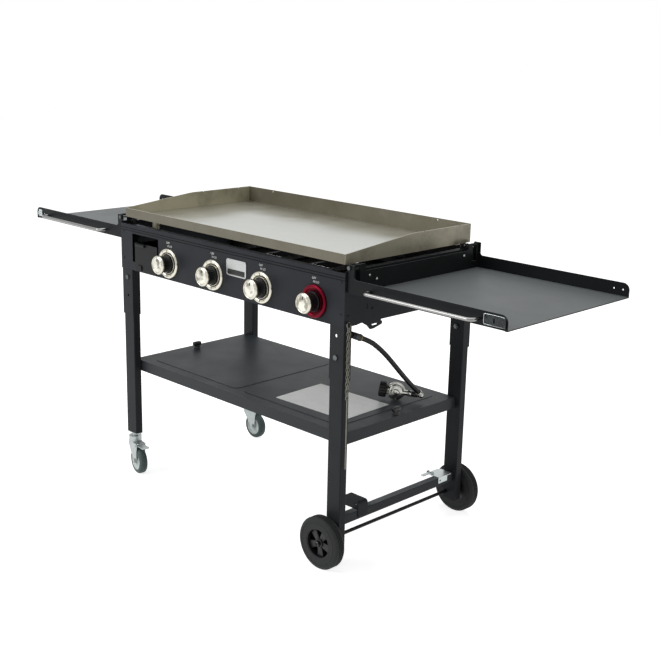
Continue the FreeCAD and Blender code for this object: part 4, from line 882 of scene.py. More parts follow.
@dataclass
class GasHose:
    """Rubber hose from the manifold's crimp to the regulator's elbow."""

    palette: Palette
    diameter: float = 0.014
    length: float = 0.332
    route: tuple[tuple[float, float, float], ...] = HOSE_ROUTE

    def build(self, fittings: Sequence[bpy.types.Object]) -> list[bpy.types.Object]:
        """Args:
            fittings: The pieces that hang on its far end. They are not used.

        Returns:
            The hose, as its one piece.
        """
        curve = round_line("gas_hose_line", self.route, self.diameter / 2, steps=16, roundness=5)
        curve.materials.append(self.palette.hose)
        hose = bpy.data.objects.new("gas_hose_line", curve)
        bpy.context.scene.collection.objects.link(hose)
        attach(hose, "stand")
        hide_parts("gas_hose")
        return [hose]


@dataclass
class Knobs:
    """Control knobs with plated caps, on plated bezels."""

    palette: Palette
    ribs: int = 24
    skirt_radius: float = 0.0265
    grip_radius: float = 0.0252
    cap_radius: float = 0.028
    back: float = 0.005
    grip_end: float = 0.036
    reach: float = 0.045
    bezel_radius: float = 0.045
    bezel_bore: float = 0.028
    bezel_height: float = 0.008
    marks: int = 11
    mark_radius: float = 0.0372
    letter_height: float = 0.0085
    letter_relief: float = 0.00015
    rib_rows: int = 5
    rib_steps: int = 6
    rib_depth: float = 0.022

    def grip(self) -> bmesh.types.BMesh:
        """Make the ribbed body, turned about local Z with its back at the panel.

        Returns:
            The body.
        """
        inner = self.grip_radius - 0.003
        profile = [(self.back + 0.004, 0.006), (self.back, inner - 0.004), (self.back, self.skirt_radius - 0.001),
                   (self.back + 0.001, self.skirt_radius), (self.back + 0.005, self.skirt_radius),
                   (self.back + 0.006, self.grip_radius)]
        for i in range(self.rib_rows + 1):
            share = i / self.rib_rows
            profile.append((self.back + 0.007 + share * (self.grip_end - self.back - 0.009),
                            self.grip_radius - 0.0012 * share))
        profile += [(self.grip_end, self.grip_radius - 0.002), (self.grip_end, 0.004)]
        shape = lathe(profile, self.ribs * self.rib_steps)
        for vert in shape.verts:
            if self.back + 0.0065 < vert.co.z < self.grip_end - 0.001:
                angle = math.atan2(vert.co.y, vert.co.x)
                push = 1.0 - self.rib_depth * (0.5 + 0.5 * math.cos(self.ribs * angle)) ** 2
                vert.co.x *= push
                vert.co.y *= push
        bmesh.ops.recalc_face_normals(shape, faces=shape.faces)
        return shape

    def rim(self) -> bmesh.types.BMesh:
        """Make the plated rim of the cap.

        Returns:
            The rim.
        """
        start, rim = self.grip_end, self.cap_radius
        profile = ((start, rim - 0.008), (start, rim - 0.003), (start + 0.0006, rim - 0.0006), (start + 0.002, rim),
                   (start + 0.0045, rim - 0.0002), (start + 0.0066, rim - 0.0014), (start + 0.0082, rim - 0.0034),
                   (self.reach, rim - 0.0052), (start + 0.0086, rim - 0.0062), (start + 0.0066, rim - 0.0072))
        return lathe(profile, 64, closed=True)

    def disc(self) -> bmesh.types.BMesh:
        """Make the sunk, slightly domed face of the cap.

        Returns:
            The face.
        """
        start, edge = self.grip_end, self.cap_radius - 0.0070
        profile = ((start, 0.0), (start, edge), (start + 0.0068, edge), (start + 0.0066, edge - 0.0012),
                   (start + 0.0070, edge * 0.7), (start + 0.0078, edge * 0.3), (start + 0.0080, 0.0))
        return lathe(profile, 56)

    def pointer(self) -> bmesh.types.BMesh:
        """Make the dark arrow on the cap's face.

        Returns:
            The arrow.
        """
        shape = block((-0.0016, 0.0105, self.grip_end + 0.0064), (0.0016, 0.0185, self.grip_end + 0.0080), 0.0004, 1)
        for vert in shape.verts:
            vert.co.x *= 1.0 - 0.8 * (vert.co.y - 0.0105) / 0.008
        return shape

    def bezel(self) -> bmesh.types.BMesh:
        """Make the plated ring: a rounded outer land, a groove and a fine inner lip.

        Returns:
            The ring.
        """
        outer, bore, high = self.bezel_radius, self.bezel_bore, self.bezel_height
        profile = ((0.0, bore), (0.0, outer), (0.0016, outer), (0.0044, outer - 0.0006), (0.0066, outer - 0.0019),
                   (high, outer - 0.004), (high - 0.0002, outer - 0.0075), (high - 0.0012, outer - 0.0110),
                   (high - 0.0022, outer - 0.0120), (0.0026, outer - 0.0124), (0.0022, bore + 0.0028),
                   (0.0048, bore + 0.0024), (0.0060, bore + 0.0016), (0.0060, bore + 0.0008), (0.0050, bore))
        return lathe(profile, 96, closed=True)

    def bezel_marks_and_groove_shade(self, marked: bool) -> bmesh.types.BMesh:
        """Make a ring in a bezel's groove, dark on the plated bezels as painted shade, and, on the plated ones, its
        setting marks.

        Args:
            marked: Whether the bezel has setting marks.

        Returns:
            The filler, with its marks.
        """
        bore, outer = self.bezel_bore, self.bezel_radius
        # Where it is dark, the ring in the groove is painted shade.
        parts = [lathe(((0.0018, bore + 0.0024), (0.0034, bore + 0.0026), (0.0036, outer - 0.0126),
                        (0.0018, outer - 0.0122)), 72, closed=True)]
        for i in range(self.marks if marked else 0):
            angle = math.radians(-150 + i * 300 / (self.marks - 1))
            half = 0.0028 if i % 2 == 0 else 0.0018
            mark = block((-half, -0.0011, -0.0003), (half, 0.0011, 0.0003), 0.0002, 1)
            out = Matrix.Translation((self.mark_radius, 0.0, self.bezel_height - 0.0003))
            slope = turn_about("Y", -6)
            parts.append(moved(mark, Matrix.Rotation(angle, 4, "Z") @ out @ slope))
        return joined(parts)

    def word(self, letters: str, x: float, z: float) -> bmesh.types.BMesh:
        """Make raised lettering on the control panel.

        Args:
            letters: What it says.
            x: Its middle.
            z: Its foot.

        Returns:
            The lettering as a mesh that faces -Y.
        """
        curve = bpy.data.curves.new("word", "FONT")
        curve.body = letters
        curve.size = self.letter_height
        curve.align_x = "CENTER"
        curve.extrude = self.letter_relief
        # The letters stand just off the panel, so that no two faces share a place.
        place = Matrix.Translation((x, PANEL_FACE_Y - 0.0002, z)) @ turn_about("X", 90)
        return moved(surface_of(curve), place)

    def build(self) -> list[bpy.types.Object]:
        """Build the four knobs, their bezels and the lettering over them.

        Returns:
            Its pieces.
        """
        built, words = [], []
        for number, x in enumerate(KNOB_XS, 1):
            # The face looks along -Y, and local Y points up, so that the pointer stands at the top.
            stand = Matrix.Translation((x, PANEL_FACE_Y, KNOB_HEIGHT)) @ turn_about("X", 90)
            body = "knob_%d" % number
            pieces = (("knob_grip_%d", self.grip(), self.palette.phenolic, [body], "black_plastic"),
                      ("knob_rim_%d", self.rim(), self.palette.chrome, [], "plated"),
                      ("knob_face_%d", self.disc(), self.palette.cap, [], "plated"),
                      ("knob_pointer_%d", self.pointer(), self.palette.phenolic, [], "black_plastic"))
            for name, shape, finish, nodes, slot in pieces:
                piece = to_object(name % number, moved(shape, stand), finish, body, nodes)
                built.append(piece)
            last = number == len(KNOB_XS)
            nodes = ["knob_bezel_red"] if last else (["knob_bezels"] if number == 1 else [])
            finish = self.palette.red if last else self.palette.chrome
            ring = to_object("bezel_ring_%d" % number, moved(self.bezel(), stand), finish, "stand", nodes)
            # The plated bezels get the groove ring in black plastic, as painted shade. The red one gets it in red.
            marks = to_object("bezel_marks_%d" % number, moved(self.bezel_marks_and_groove_shade(not last), stand),
                              self.palette.red if last else self.palette.plastic, "stand")
            built += [ring, marks]
            foot = KNOB_HEIGHT + self.bezel_radius + 0.0035
            words.append(self.word("HI LO", x + 0.005, foot))
            words.append(self.word("OFF", x - 0.003, foot + self.letter_height * 1.1))
        piece = to_object("panel_lettering", joined(words), self.palette.ink, "stand")
        return [*built, piece]


@dataclass
class Badge:
    """Blank plated badge with a raised rim and a dark lower band."""

    palette: Palette
    centre_x: float = 0.0645
    centre_z: float = 0.752
    width: float = 0.083
    height: float = 0.047
    thickness: float = 0.002
    corner: float = 0.007
    rim: float = 0.0022

    def slab(self, width: float, height: float, corner: float, back: float, front: float) -> bmesh.types.BMesh:
        """Make an upright slab with round corners.

        Args:
            width: Size along X.
            height: Size along Z.
            corner: Radius of its corners.
            back: Distance of its back from the panel.
            front: Distance of its front from the panel.

        Returns:
            The slab, in place on the panel.
        """
        shape = block((self.centre_x - width / 2, PANEL_FACE_Y - front, self.centre_z - height / 2),
                      (self.centre_x + width / 2, PANEL_FACE_Y - back, self.centre_z + height / 2))
        corners = [e for e in shape.edges if abs(e.verts[0].co.y - e.verts[1].co.y) > (front - back) / 2]
        bmesh.ops.bevel(shape, geom=corners, offset=corner, affect="EDGES", segments=6, profile=0.5, material=-1)
        return shape

    def build(self) -> list[bpy.types.Object]:
        """Build the plate, its sunk face and its band.

        Returns:
            Its pieces.
        """
        plate = self.slab(self.width, self.height, self.corner, 0.0, self.thickness)
        faces = [f for f in plate.faces if f.normal.y < -0.9]
        bmesh.ops.inset_region(plate, faces=faces, thickness=self.rim, depth=0.0, use_even_offset=True)
        faces = [f for f in plate.faces if f.normal.y < -0.9 and f.calc_area() > 0.5 * self.width * self.height]
        bmesh.ops.inset_region(plate, faces=faces, thickness=0.0004, depth=-0.0007, use_even_offset=True)
        piece = to_object("badge_blank", plate, self.palette.badge, "stand", ["badge_plate"], 25.0)
        band = block((self.centre_x - self.width * 0.44, PANEL_FACE_Y - 0.0019, self.centre_z - self.height * 0.42),
                     (self.centre_x + self.width * 0.42, PANEL_FACE_Y - 0.0012, self.centre_z - self.height * 0.10),
                     0.0003, 2)
        band_piece = to_object("badge_band", band, self.palette.plastic, "stand")
        return [piece, band_piece]


@dataclass
class RearWheels:
    """Two large moulded wheels on the axle, with treaded tyres and spoked hubs."""

    palette: Palette
    x: float = 0.442
    radius: float = 0.073
    inner_face: float = 0.2678
    width: float = 0.033
    seat: float = 0.041
    spokes: int = 5
    spoke_turn: float = 31.0
    recess: float = 0.007
    axle_end: float = 0.306
    bore: float = 0.00505
    grooves: tuple[float, ...] = (-0.0052, 0.0, 0.0052)
    groove_depth: float = 0.0022

    def tyre(self) -> bmesh.types.BMesh:
        """Make the tyre with its rounded shoulders and tread grooves.

        Returns:
            The tyre.
        """
        half = self.width / 2
        r = self.radius
        side = [(-half, self.seat), (-half, r - 0.016), (-half + 0.0008, r - 0.0155), (-half + 0.0008, r - 0.012),
                (-half, r - 0.0115), (-half + 0.0005, r - 0.007), (-half + 0.003, r - 0.002), (-half + 0.006, r)]
        tread = []
        for groove in self.grooves:
            tread += [(groove - 0.0014, r), (groove - 0.0009, r - self.groove_depth),
                      (groove + 0.0009, r - self.groove_depth), (groove + 0.0014, r)]
        back = [(-z, radius) for z, radius in reversed(side)]
        return lathe(side + tread + back, 96, closed=True)

    def hub(self) -> bmesh.types.BMesh:
        """Make the hub: rim, web, boss and broad petal spokes, sunk below the tyre's side.

        Returns:
            The hub.
        """
        half = self.width / 2
        rim_out, rim_in = self.seat, self.seat - 0.002
        rim = lathe(((-half + 0.001, rim_in), (-half + 0.001, rim_out), (half - 0.001, rim_out),
                     (half - 0.001, rim_in + 0.0008), (half - 0.002, rim_in)), 64, closed=True)
        face = half - self.recess
        boss = lathe(((-half, self.bore), (-half, 0.0125), (-half + 0.001, 0.0130), (half - 0.0055, 0.0130),
                      (half - 0.0040, 0.0122), (half - 0.0036, 0.0105), (half - 0.0036, self.bore)), 40, closed=True)
        web = lathe(((-half + 0.004, 0.011), (-half + 0.004, rim_in + 0.001), (-half + 0.008, rim_in + 0.001),
                     (-half + 0.008, 0.011)), 64, closed=True)
        parts = [rim, boss, web]
        for i in range(self.spokes):
            spoke = block((-0.007, 0.010, -half + 0.007), (0.007, rim_in - 0.0006, face), 0.0016, 3)
            for vert in spoke.verts:
                share = (vert.co.y - 0.010) / (rim_in - 0.0106)
                vert.co.x *= 1.0 + 0.72 * share
                vert.co.z -= 0.0012 * share
            parts.append(moved(spoke, Matrix.Rotation(i * math.tau / self.spokes, 4, "Z")))
        return joined(parts)

    def build(self) -> list[bpy.types.Object]:
        """Build both wheels, their outer faces away from the middle, and the ends of the axle.

        Returns:
            Its pieces.
        """
        built = []
        for end in End:
            name = end.name.lower()
            body = "wheel_" + name
            outward = Vector((0, end.value, 0))
            middle = Vector((self.x, end.value * (self.inner_face + self.width / 2), self.radius))
            stand = place_on_axis(middle, outward)
            turned = stand @ turn_about("Z", end.value * self.spoke_turn)
            tyre = to_object("tyre_" + name + "_treaded", moved(self.tyre(), stand), self.palette.tyre, body,
                             ["tyre_" + name])
            hub = to_object("hub_" + name + "_spoked", moved(self.hub(), turned), self.palette.plastic, body,
                            ["hub_" + name])
            tip = lathe(((-0.0050, 0.0), (-0.0050, 0.0062), (-0.0022, 0.0062), (-0.0012, 0.0054), (-0.0006, 0.0036),
                         (-0.0001, 0.0)), 28)
            place = place_on_axis(Vector((self.x, end.value * self.axle_end, self.radius)), outward)
            cap = to_object("axle_tip_" + name, moved(tip, place), self.palette.dull_zinc, "stand")
            built += [tyre, hub, cap]
        return built


@dataclass
class CasterWheels:
    """Caster wheels: grey rubber on a pale nylon core."""

    palette: Palette
    stem_x: float = -0.4538
    stem_y: float = 0.2453
    trail: float = 0.027
    radius: float = 0.043
    half: float = 0.013
    rubber: float = 0.013
    bore: float = 0.00405
    front_turn: float = -12.0

    def tyre(self) -> bmesh.types.BMesh:
        """Make the rounded tyre.

        Returns:
            The tyre.
        """
        r, seat, half = self.radius, self.radius - self.rubber, self.half
        profile = ((-half, seat), (-half, r - 0.009), (-half + 0.0012, r - 0.0045), (-half + 0.004, r - 0.0012),
                   (-half + 0.007, r), (half - 0.007, r), (half - 0.004, r - 0.0012), (half - 0.0012, r - 0.0045),
                   (half, r - 0.009), (half, seat))
        return lathe(profile, 80, closed=True)

    def core(self) -> bmesh.types.BMesh:
        """Make the dished core with its boss.

        Returns:
            The core.
        """
        seat, half = self.radius - self.rubber, self.half
        face = ((half, self.bore), (half, 0.0085), (half - 0.001, 0.0098), (half - 0.0045, 0.0108),
                (half - 0.005, 0.0125), (half - 0.005, seat - 0.006), (half - 0.0022, seat - 0.0045),
                (half - 0.001, seat - 0.0035), (half - 0.001, seat))
        back = tuple((-z, radius) for z, radius in reversed(face))
        return lathe(face + back, 64, closed=True)

    def build(self) -> list[bpy.types.Object]:
        """Build the front and rear caster wheels.

        Returns:
            Its pieces.
        """
        built = []
        for end, turn in ((End.FRONT, self.front_turn), (End.REAR, 0.0)):
            swivel = Matrix.Translation((self.stem_x, end.value * self.stem_y, 0.0)) @ turn_about("Z", turn)
            stand = swivel @ Matrix.Translation((self.trail, 0, self.radius)) @ turn_about("X", 90)
            name = "caster_wheel_" + end.name.lower()
            tyre = to_object(name + "_tyre", moved(self.tyre(), stand), self.palette.grey_tyre, name, [name])
            core = to_object(name + "_core", moved(self.core(), stand), self.palette.grey_plastic, name)
            built += [tyre, core]
        return built


@dataclass
class LightingRod:
    """Rod for lighting a burner by hand, on a fine link chain."""

    palette: Palette
    x: float = 0.4855
    y: float = -0.248
    pin_z: float = 0.677
    link_length: float = 0.0115
    link_width: float = 0.0050
    wire_radius: float = 0.0009
    strand_gap: float = 0.0031
    link_turn: float = 25.0
    link_ease: float = 1.08
    ring_ease: float = 1.06
    ring_radius: float = 0.00725
    ring_drop: float = 0.0044
    ring_wire: float = 0.00125
    eye_radius: float = 0.005
    eye_drop: float = 0.0045
    rod_radius: float = 0.0016
    chain_end: float = 0.4835
    rod_end: float = 0.2834

    def oval(self, x: float, y: float, z: float, wide: float, high: float) -> list[Vector]:
        """Give eight control points round an upright oval that faces along X.

        Args:
            x: Its middle along X.
            y: Its middle along Y.
            z: Its middle along Z.
            wide: Distance of the points along Y.
            high: Distance of the points along Z.

        Returns:
            The points.
        """
        angles = [i * math.tau / 8 for i in range(8)]
        return [Vector((x, y + wide * math.cos(angle), z + high * math.sin(angle))) for angle in angles]

    def link(self, shift: float, middle: float, turn: float) -> bmesh.types.BMesh:
        """Make one oval link.

        Args:
            shift: Place of its strand along Y from the middle.
            middle: Height of its middle.
            turn: Turn about its own length, in degrees.

        Returns:
            The link.
        """
        # A smooth line runs inside its control points, so they stand a little further out.
        loop = self.oval(0.0, 0.0, 0.0, self.link_width / 2 * self.link_ease,
                         self.link_length / 2 * self.link_ease)
        shape = wire(loop, self.wire_radius, closed=True)
        place = Matrix.Translation((self.x, self.y + shift, middle))
        return moved(shape, place @ turn_about("Z", turn))

    def build(self) -> list[bpy.types.Object]:
        """Build the hook ring, the chain, the lower ring and the rod.

        Returns:
            Its pieces.
        """
        ring_z = self.pin_z - self.ring_drop
        reach = self.ring_radius * self.ring_ease
        ring = wire(self.oval(self.x, self.y, ring_z, reach, reach), self.ring_wire, closed=True)
        top = ring_z - self.ring_radius - 0.001
        pitch = self.link_length - 2.6 * self.wire_radius
        count = int((top - self.chain_end) / pitch)
        pitch = (top - self.chain_end) / count
        links = [self.link(shift, top - pitch * (i + 0.5), self.link_turn + 90.0 * (i % 2))
                 for shift in (-self.strand_gap, self.strand_gap) for i in range(count)]
        low = self.chain_end
        eye = wire(self.oval(self.x, self.y, low - self.eye_drop, self.eye_radius, self.eye_radius),
                   self.ring_wire, closed=True)
        heights = (low - 0.0095, low - 0.02, (low + self.rod_end) / 2, self.rod_end + 0.012, self.rod_end + 0.0006)
        rod = wire([Vector((self.x, self.y, z)) for z in heights], self.rod_radius)
        piece = to_object("lighting_rod_chain", joined([ring, *links, eye, rod]), self.palette.chain,
                          "lighting_rod", ["lighting_rod"], 60.0)
        return [piece]


@dataclass
class Regulator:
    """Gas regulator: die-cast housing with its vent dome, outlet cover, ribbed crimp and coupling wheel."""

    palette: Palette
    x: float = 0.341
    y: float = 0.062
    turn: float = 35.0
    tilt: float = 6.0
    housing_place: float = 0.030
    housing_radius: float = 0.026
    wheel_radius: float = 0.0225
    lobes: int = 12
    lobe_depth: float = 0.075
    screws: int = 6
    reach: float = 0.103
    crimp_radius: float = 0.0093
    crimp_groove: float = 0.0086
    hose_end: tuple[float, float, float] = HOSE_ROUTE[-1]
    hose_before: tuple[float, float, float] = HOSE_ROUTE[-2]

    def axes(self) -> tuple[Vector, Vector]:
        """Give the unit vectors along and across the regulator.

        Returns:
            The two vectors.
        """
        turn, tilt = math.radians(self.turn), math.radians(self.tilt)
        along = Vector((math.cos(turn) * math.cos(tilt), math.sin(turn) * math.cos(tilt), -math.sin(tilt)))
        return along, Vector((-math.sin(turn), math.cos(turn), 0.0))

    def point(self, distance: float) -> Vector:
        """Give a point on the regulator's axis.

        Args:
            distance: How far along the axis it is from the origin, which lies in the coupling wheel.

        Returns:
            The point.
        """
        along = self.axes()[0]
        height = SHELF_FLOOR + self.housing_radius - along.z * self.housing_place
        return Vector((self.x, self.y, height)) + along * distance

    def coupling_wheel(self) -> bmesh.types.BMesh:
        """Make the scalloped wheel, hollow at the gas bottle's side.

        Returns:
            The wheel.
        """
        back, front, r = -0.018, 0.003, self.wheel_radius
        profile = ((-0.0042, 0.0061), (-0.0042, 0.0138), (back + 0.001, 0.0142), (back, 0.0158),
                   (back, r - 0.003), (back + 0.0012, r - 0.0006), (back + 0.003, r), (front - 0.003, r),
                   (front - 0.0012, r - 0.0006), (front, r - 0.003), (front, 0.013), (front - 0.0008, 0.0115),
                   (front - 0.0008, 0.0061))
        shape = lathe(profile, self.lobes * 10, closed=True)
        for vert in shape.verts:
            radius = math.hypot(vert.co.x, vert.co.y)
            if radius > self.wheel_radius - 0.0045:
                angle = math.atan2(vert.co.y, vert.co.x)
                push = 1.0 - self.lobe_depth * max(0.0, math.cos(self.lobes * angle)) ** 1.5
                vert.co.x *= push
                vert.co.y *= push
        return shape

    def housing(self) -> bmesh.types.BMesh:
        """Make the diaphragm housing, turned about its own axis: two shells, clamp rim and vent dome.

        Returns:
            The housing, with its screws.
        """
        r = self.housing_radius
        shells = lathe(((-0.0195, 0.0), (-0.0195, 0.0075), (-0.0185, 0.0095), (-0.014, 0.0105), (-0.0135, 0.017),
                        (-0.012, 0.0195), (-0.005, r - 0.0045), (-0.004, r - 0.003), (-0.004, r - 0.0005),
                        (-0.003, r), (0.0, r), (0.0005, r - 0.0008), (0.001, r - 0.0008), (0.0015, r), (0.004, r),
                        (0.005, r - 0.001), (0.011, r - 0.006), (0.013, r - 0.010), (0.013, 0.0)), 72)
        screws = []
        for i in range(self.screws):
            angle = (i + 0.5) * math.tau / self.screws
            centre = Vector((math.cos(angle) * (r - 0.0032), math.sin(angle) * (r - 0.0032), -0.004))
            screws.append(screw_head(centre, Vector((0, 0, -1)), 0.0021, 0.0014))
        return joined([shells, *screws])

    def along_axis(self, profile: Sequence[tuple[float, float]], steps: int = 36) -> bmesh.types.BMesh:
        """Turn a profile about the regulator's axis, with heights as distances along it."""
        return moved(lathe(profile, steps), place_on_axis(self.point(0.0), self.axes()[0]))

    def hexagon(self, start: float, stop: float, radius: float) -> bmesh.types.BMesh:
        """Make a hexagon nut on the regulator's axis with chamfered corners.

        Args:
            start: Distance of its near face along the axis.
            stop: Distance of its far face.
            radius: Distance of its corners from the axis.

        Returns:
            The nut.
        """
        shape = bmesh.new()
        bmesh.ops.create_cone(shape, cap_ends=True, segments=6, radius1=radius, radius2=radius, depth=stop - start)
        bmesh.ops.bevel(shape, geom=list(shape.edges), offset=0.0007, affect="EDGES", segments=2, profile=0.5,
                        material=-1)
        return moved(shape, place_on_axis(self.point((start + stop) / 2), self.axes()[0]))

    def build(self) -> list[bpy.types.Object]:
        """Build the regulator's pieces and the coupling wheel.

        Returns:
            The pieces that the hose ends on.
        """
        along, across = self.axes()
        wheel = moved(self.coupling_wheel(), place_on_axis(self.point(0.0), along))
        coupling = to_object("coupling_wheel", wheel, self.palette.plastic, "regulator_handwheel",
                             ["regulator_handwheel"])
        middle = self.point(self.housing_place)
        case = moved(self.housing(), place_on_axis(middle, across))
        nipple = self.along_axis(((-0.010, 0.0), (-0.010, 0.0045), (-0.009, 0.006), (-0.009, 0.0078),
                                  (-0.0043, 0.0078), (-0.0043, 0.006), (0.004, 0.006), (0.004, 0.0)))
        nut = self.hexagon(0.0033, 0.016, 0.0138)
        neck = self.along_axis(((0.014, 0.0), (0.014, 0.0115), (0.020, 0.0125), (0.050, 0.012), (0.054, 0.009),
                                (0.060, 0.0075), (0.068, 0.007), (0.068, 0.0)))
        outlet_nut = self.hexagon(0.064, 0.074, 0.0095)
        elbow = self.along_axis(((0.094, 0.0), (0.094, 0.0060), (0.099, 0.0070), (0.103, 0.0080), (0.107, 0.0070),
                                 (0.1095, 0.0042), (0.1104, 0.0)))
        body = to_object("regulator_case", joined([case, nipple, nut, neck, outlet_nut, elbow]),
                         self.palette.die_cast, "stand", ["regulator"])
        cover = self.along_axis(((0.073, 0.0), (0.073, 0.0072), (0.074, 0.0080), (0.088, 0.0078), (0.0945, 0.0070),
                                 (0.0955, 0.0062), (0.0955, 0.0)))
        grip = to_object("outlet_cover", cover, self.palette.plastic, "stand")
        start = Vector(self.hose_end)
        towards = (start - Vector(self.hose_before)).normalized()
        length = (self.point(self.reach) - start).length
        high, low = self.crimp_radius, self.crimp_groove
        crimp = lathe(((0.0, 0.0071), (0.0, low), (0.0008, high), (0.003, high), (0.0036, low), (0.005, low),
                       (0.0056, high), (0.0075, high), (0.0081, low), (0.0095, low), (0.0101, high),
                       (0.012, 0.0088), (0.0125, 0.0055), (length, 0.0052), (length, 0.0)), 36)
        sleeve = to_object("regulator_crimp", moved(crimp, place_on_axis(start, towards)), self.palette.die_cast,
                           "stand")
        return [body, coupling, grip, sleeve]


@dataclass
class ManifoldCrimp:
    """Crimped sleeve and thin brass band where the hose leaves the manifold."""

    palette: Palette
    hose_start: tuple[float, float, float] = HOSE_ROUTE[0]
    hose_next: tuple[float, float, float] = HOSE_ROUTE[1]
    sleeve_length: float = 0.027
    sleeve_radius: float = 0.0093
    bore: float = 0.0071
    ribs: int = 4
    rib_pitch: float = 0.0056

    def build(self) -> list[bpy.types.Object]:
        """Build the ribbed sleeve over the plain one of the manifold, and the band at its end.

        Returns:
            Its pieces.
        """
        start = Vector(self.hose_start)
        towards = (Vector(self.hose_next) - start).normalized()
        r = self.sleeve_radius
        profile = [(0.0, self.bore), (0.0, r - 0.0006), (0.0006, r)]
        for i in range(self.ribs):
            z = 0.0032 + i * self.rib_pitch
            profile += [(z, r), (z + 0.0007, r - 0.0001), (z + 0.0023, r - 0.0001), (z + 0.003, r)]
        end = self.sleeve_length
        profile += [(end - 0.0008, r), (end, r - 0.0008), (end, self.bore)]
        sleeve = moved(lathe(profile, 36, closed=True), place_on_axis(start - towards * end, towards))
        piece = to_object("manifold_crimp", sleeve, self.palette.plastic, "stand")
        band = lathe(((-0.0050, r - 0.0004), (-0.0050, r + 0.0003), (-0.0046, r + 0.0006), (-0.0034, r + 0.0006),
                      (-0.0030, r + 0.0003), (-0.0030, r - 0.0004)), 36, closed=True)
        ring = to_object("manifold_band", moved(band, place_on_axis(start, towards)), self.palette.brass, "stand")
        return [piece, ring]


@dataclass
class ShelfLatches:
    """Moulded turn buttons at the ends of the lower shelf."""

    palette: Palette
    left_x: float = -0.427
    right_x: float = 0.4495
    y: float = -0.012
    base_z: float = 0.372
    wing_half: float = 0.009
    wing_reach: float = 0.0145

    def build(self) -> list[bpy.types.Object]:
        """Build both buttons: a stepped round foot and a pinched wing.

        Returns:
            Its pieces.
        """
        built = []
        for side, x in ((Side.LEFT, self.left_x), (Side.RIGHT, self.right_x)):
            name = "shelf_latch_" + side.name.lower()
            foot = lathe(((0.0, 0.0), (0.0, 0.011), (0.0015, 0.011), (0.0025, 0.0106), (0.008, 0.0098),
                          (0.011, 0.0094), (0.011, 0.0)), 36)
            wing = block((-self.wing_half, -self.wing_reach, 0.0095), (self.wing_half, self.wing_reach, 0.022),
                         0.0042, 5)
            for vert in wing.verts:
                share = max(0.0, 1.0 - abs(vert.co.y) / self.wing_reach)
                vert.co.x *= 0.74 + 0.26 * share
            whole = moved(joined([foot, wing]), Matrix.Translation((x, self.y, self.base_z)))
            piece = to_object(name + "_button", whole, self.palette.plastic, name, [name])
            built.append(piece)
        return built


@dataclass
class Fasteners:
    """Small screws and rivets that the sheet metal is put together with."""

    palette: Palette
    panel_screws: tuple[tuple[float, float], ...] = (
        (-0.468, 0.700), (-0.468, 0.783), (0.468, 0.700), (0.468, 0.783))
    side_screws: tuple[tuple[float, float], ...] = (
        (-0.246, 0.695), (-0.246, 0.785), (-0.157, 0.701), (0.246, 0.695), (0.246, 0.785))
    tray_rivets: tuple[tuple[float, float], ...] = ((-0.191, 0.797), (-0.164, 0.784), (0.189, 0.799))
    rear_lift: float = 0.012
    side_wall_x: float = 0.481
    tray_wall_x: float = 0.499

    def build(self) -> list[bpy.types.Object]:
        """Build the screws of the panels and the side shelves.

        Returns:
            Its pieces.
        """
        stand = []
        for x, z in self.panel_screws:
            stand.append(screw_head(Vector((x, PANEL_FACE_Y, z)), Vector((0, -1, 0)), 0.0034, 0.0018))
            stand.append(screw_head(Vector((x, -PANEL_FACE_Y, z + self.rear_lift)), Vector((0, 1, 0)), 0.0034, 0.0018))
        for side in Side:
            for y, z in self.side_screws:
                place = Vector((side.value * self.side_wall_x, y, z))
                stand.append(screw_head(place, Vector((side.value, 0, 0)), 0.0036, 0.002))
        piece = to_object("panel_screws", joined(stand), self.palette.tube_black, "stand")
        built = [piece]
        for side in Side:
            wall = side.value * self.tray_wall_x
            rivets = [screw_head(Vector((wall, y, z)), Vector((side.value, 0, 0)), 0.0034, 0.0016)
                      for y, z in self.tray_rivets]
            name = "shelf_" + side.name.lower()
            piece = to_object(name + "_rivets", joined(rivets), self.palette.zinc, name)
            built.append(piece)
        return built


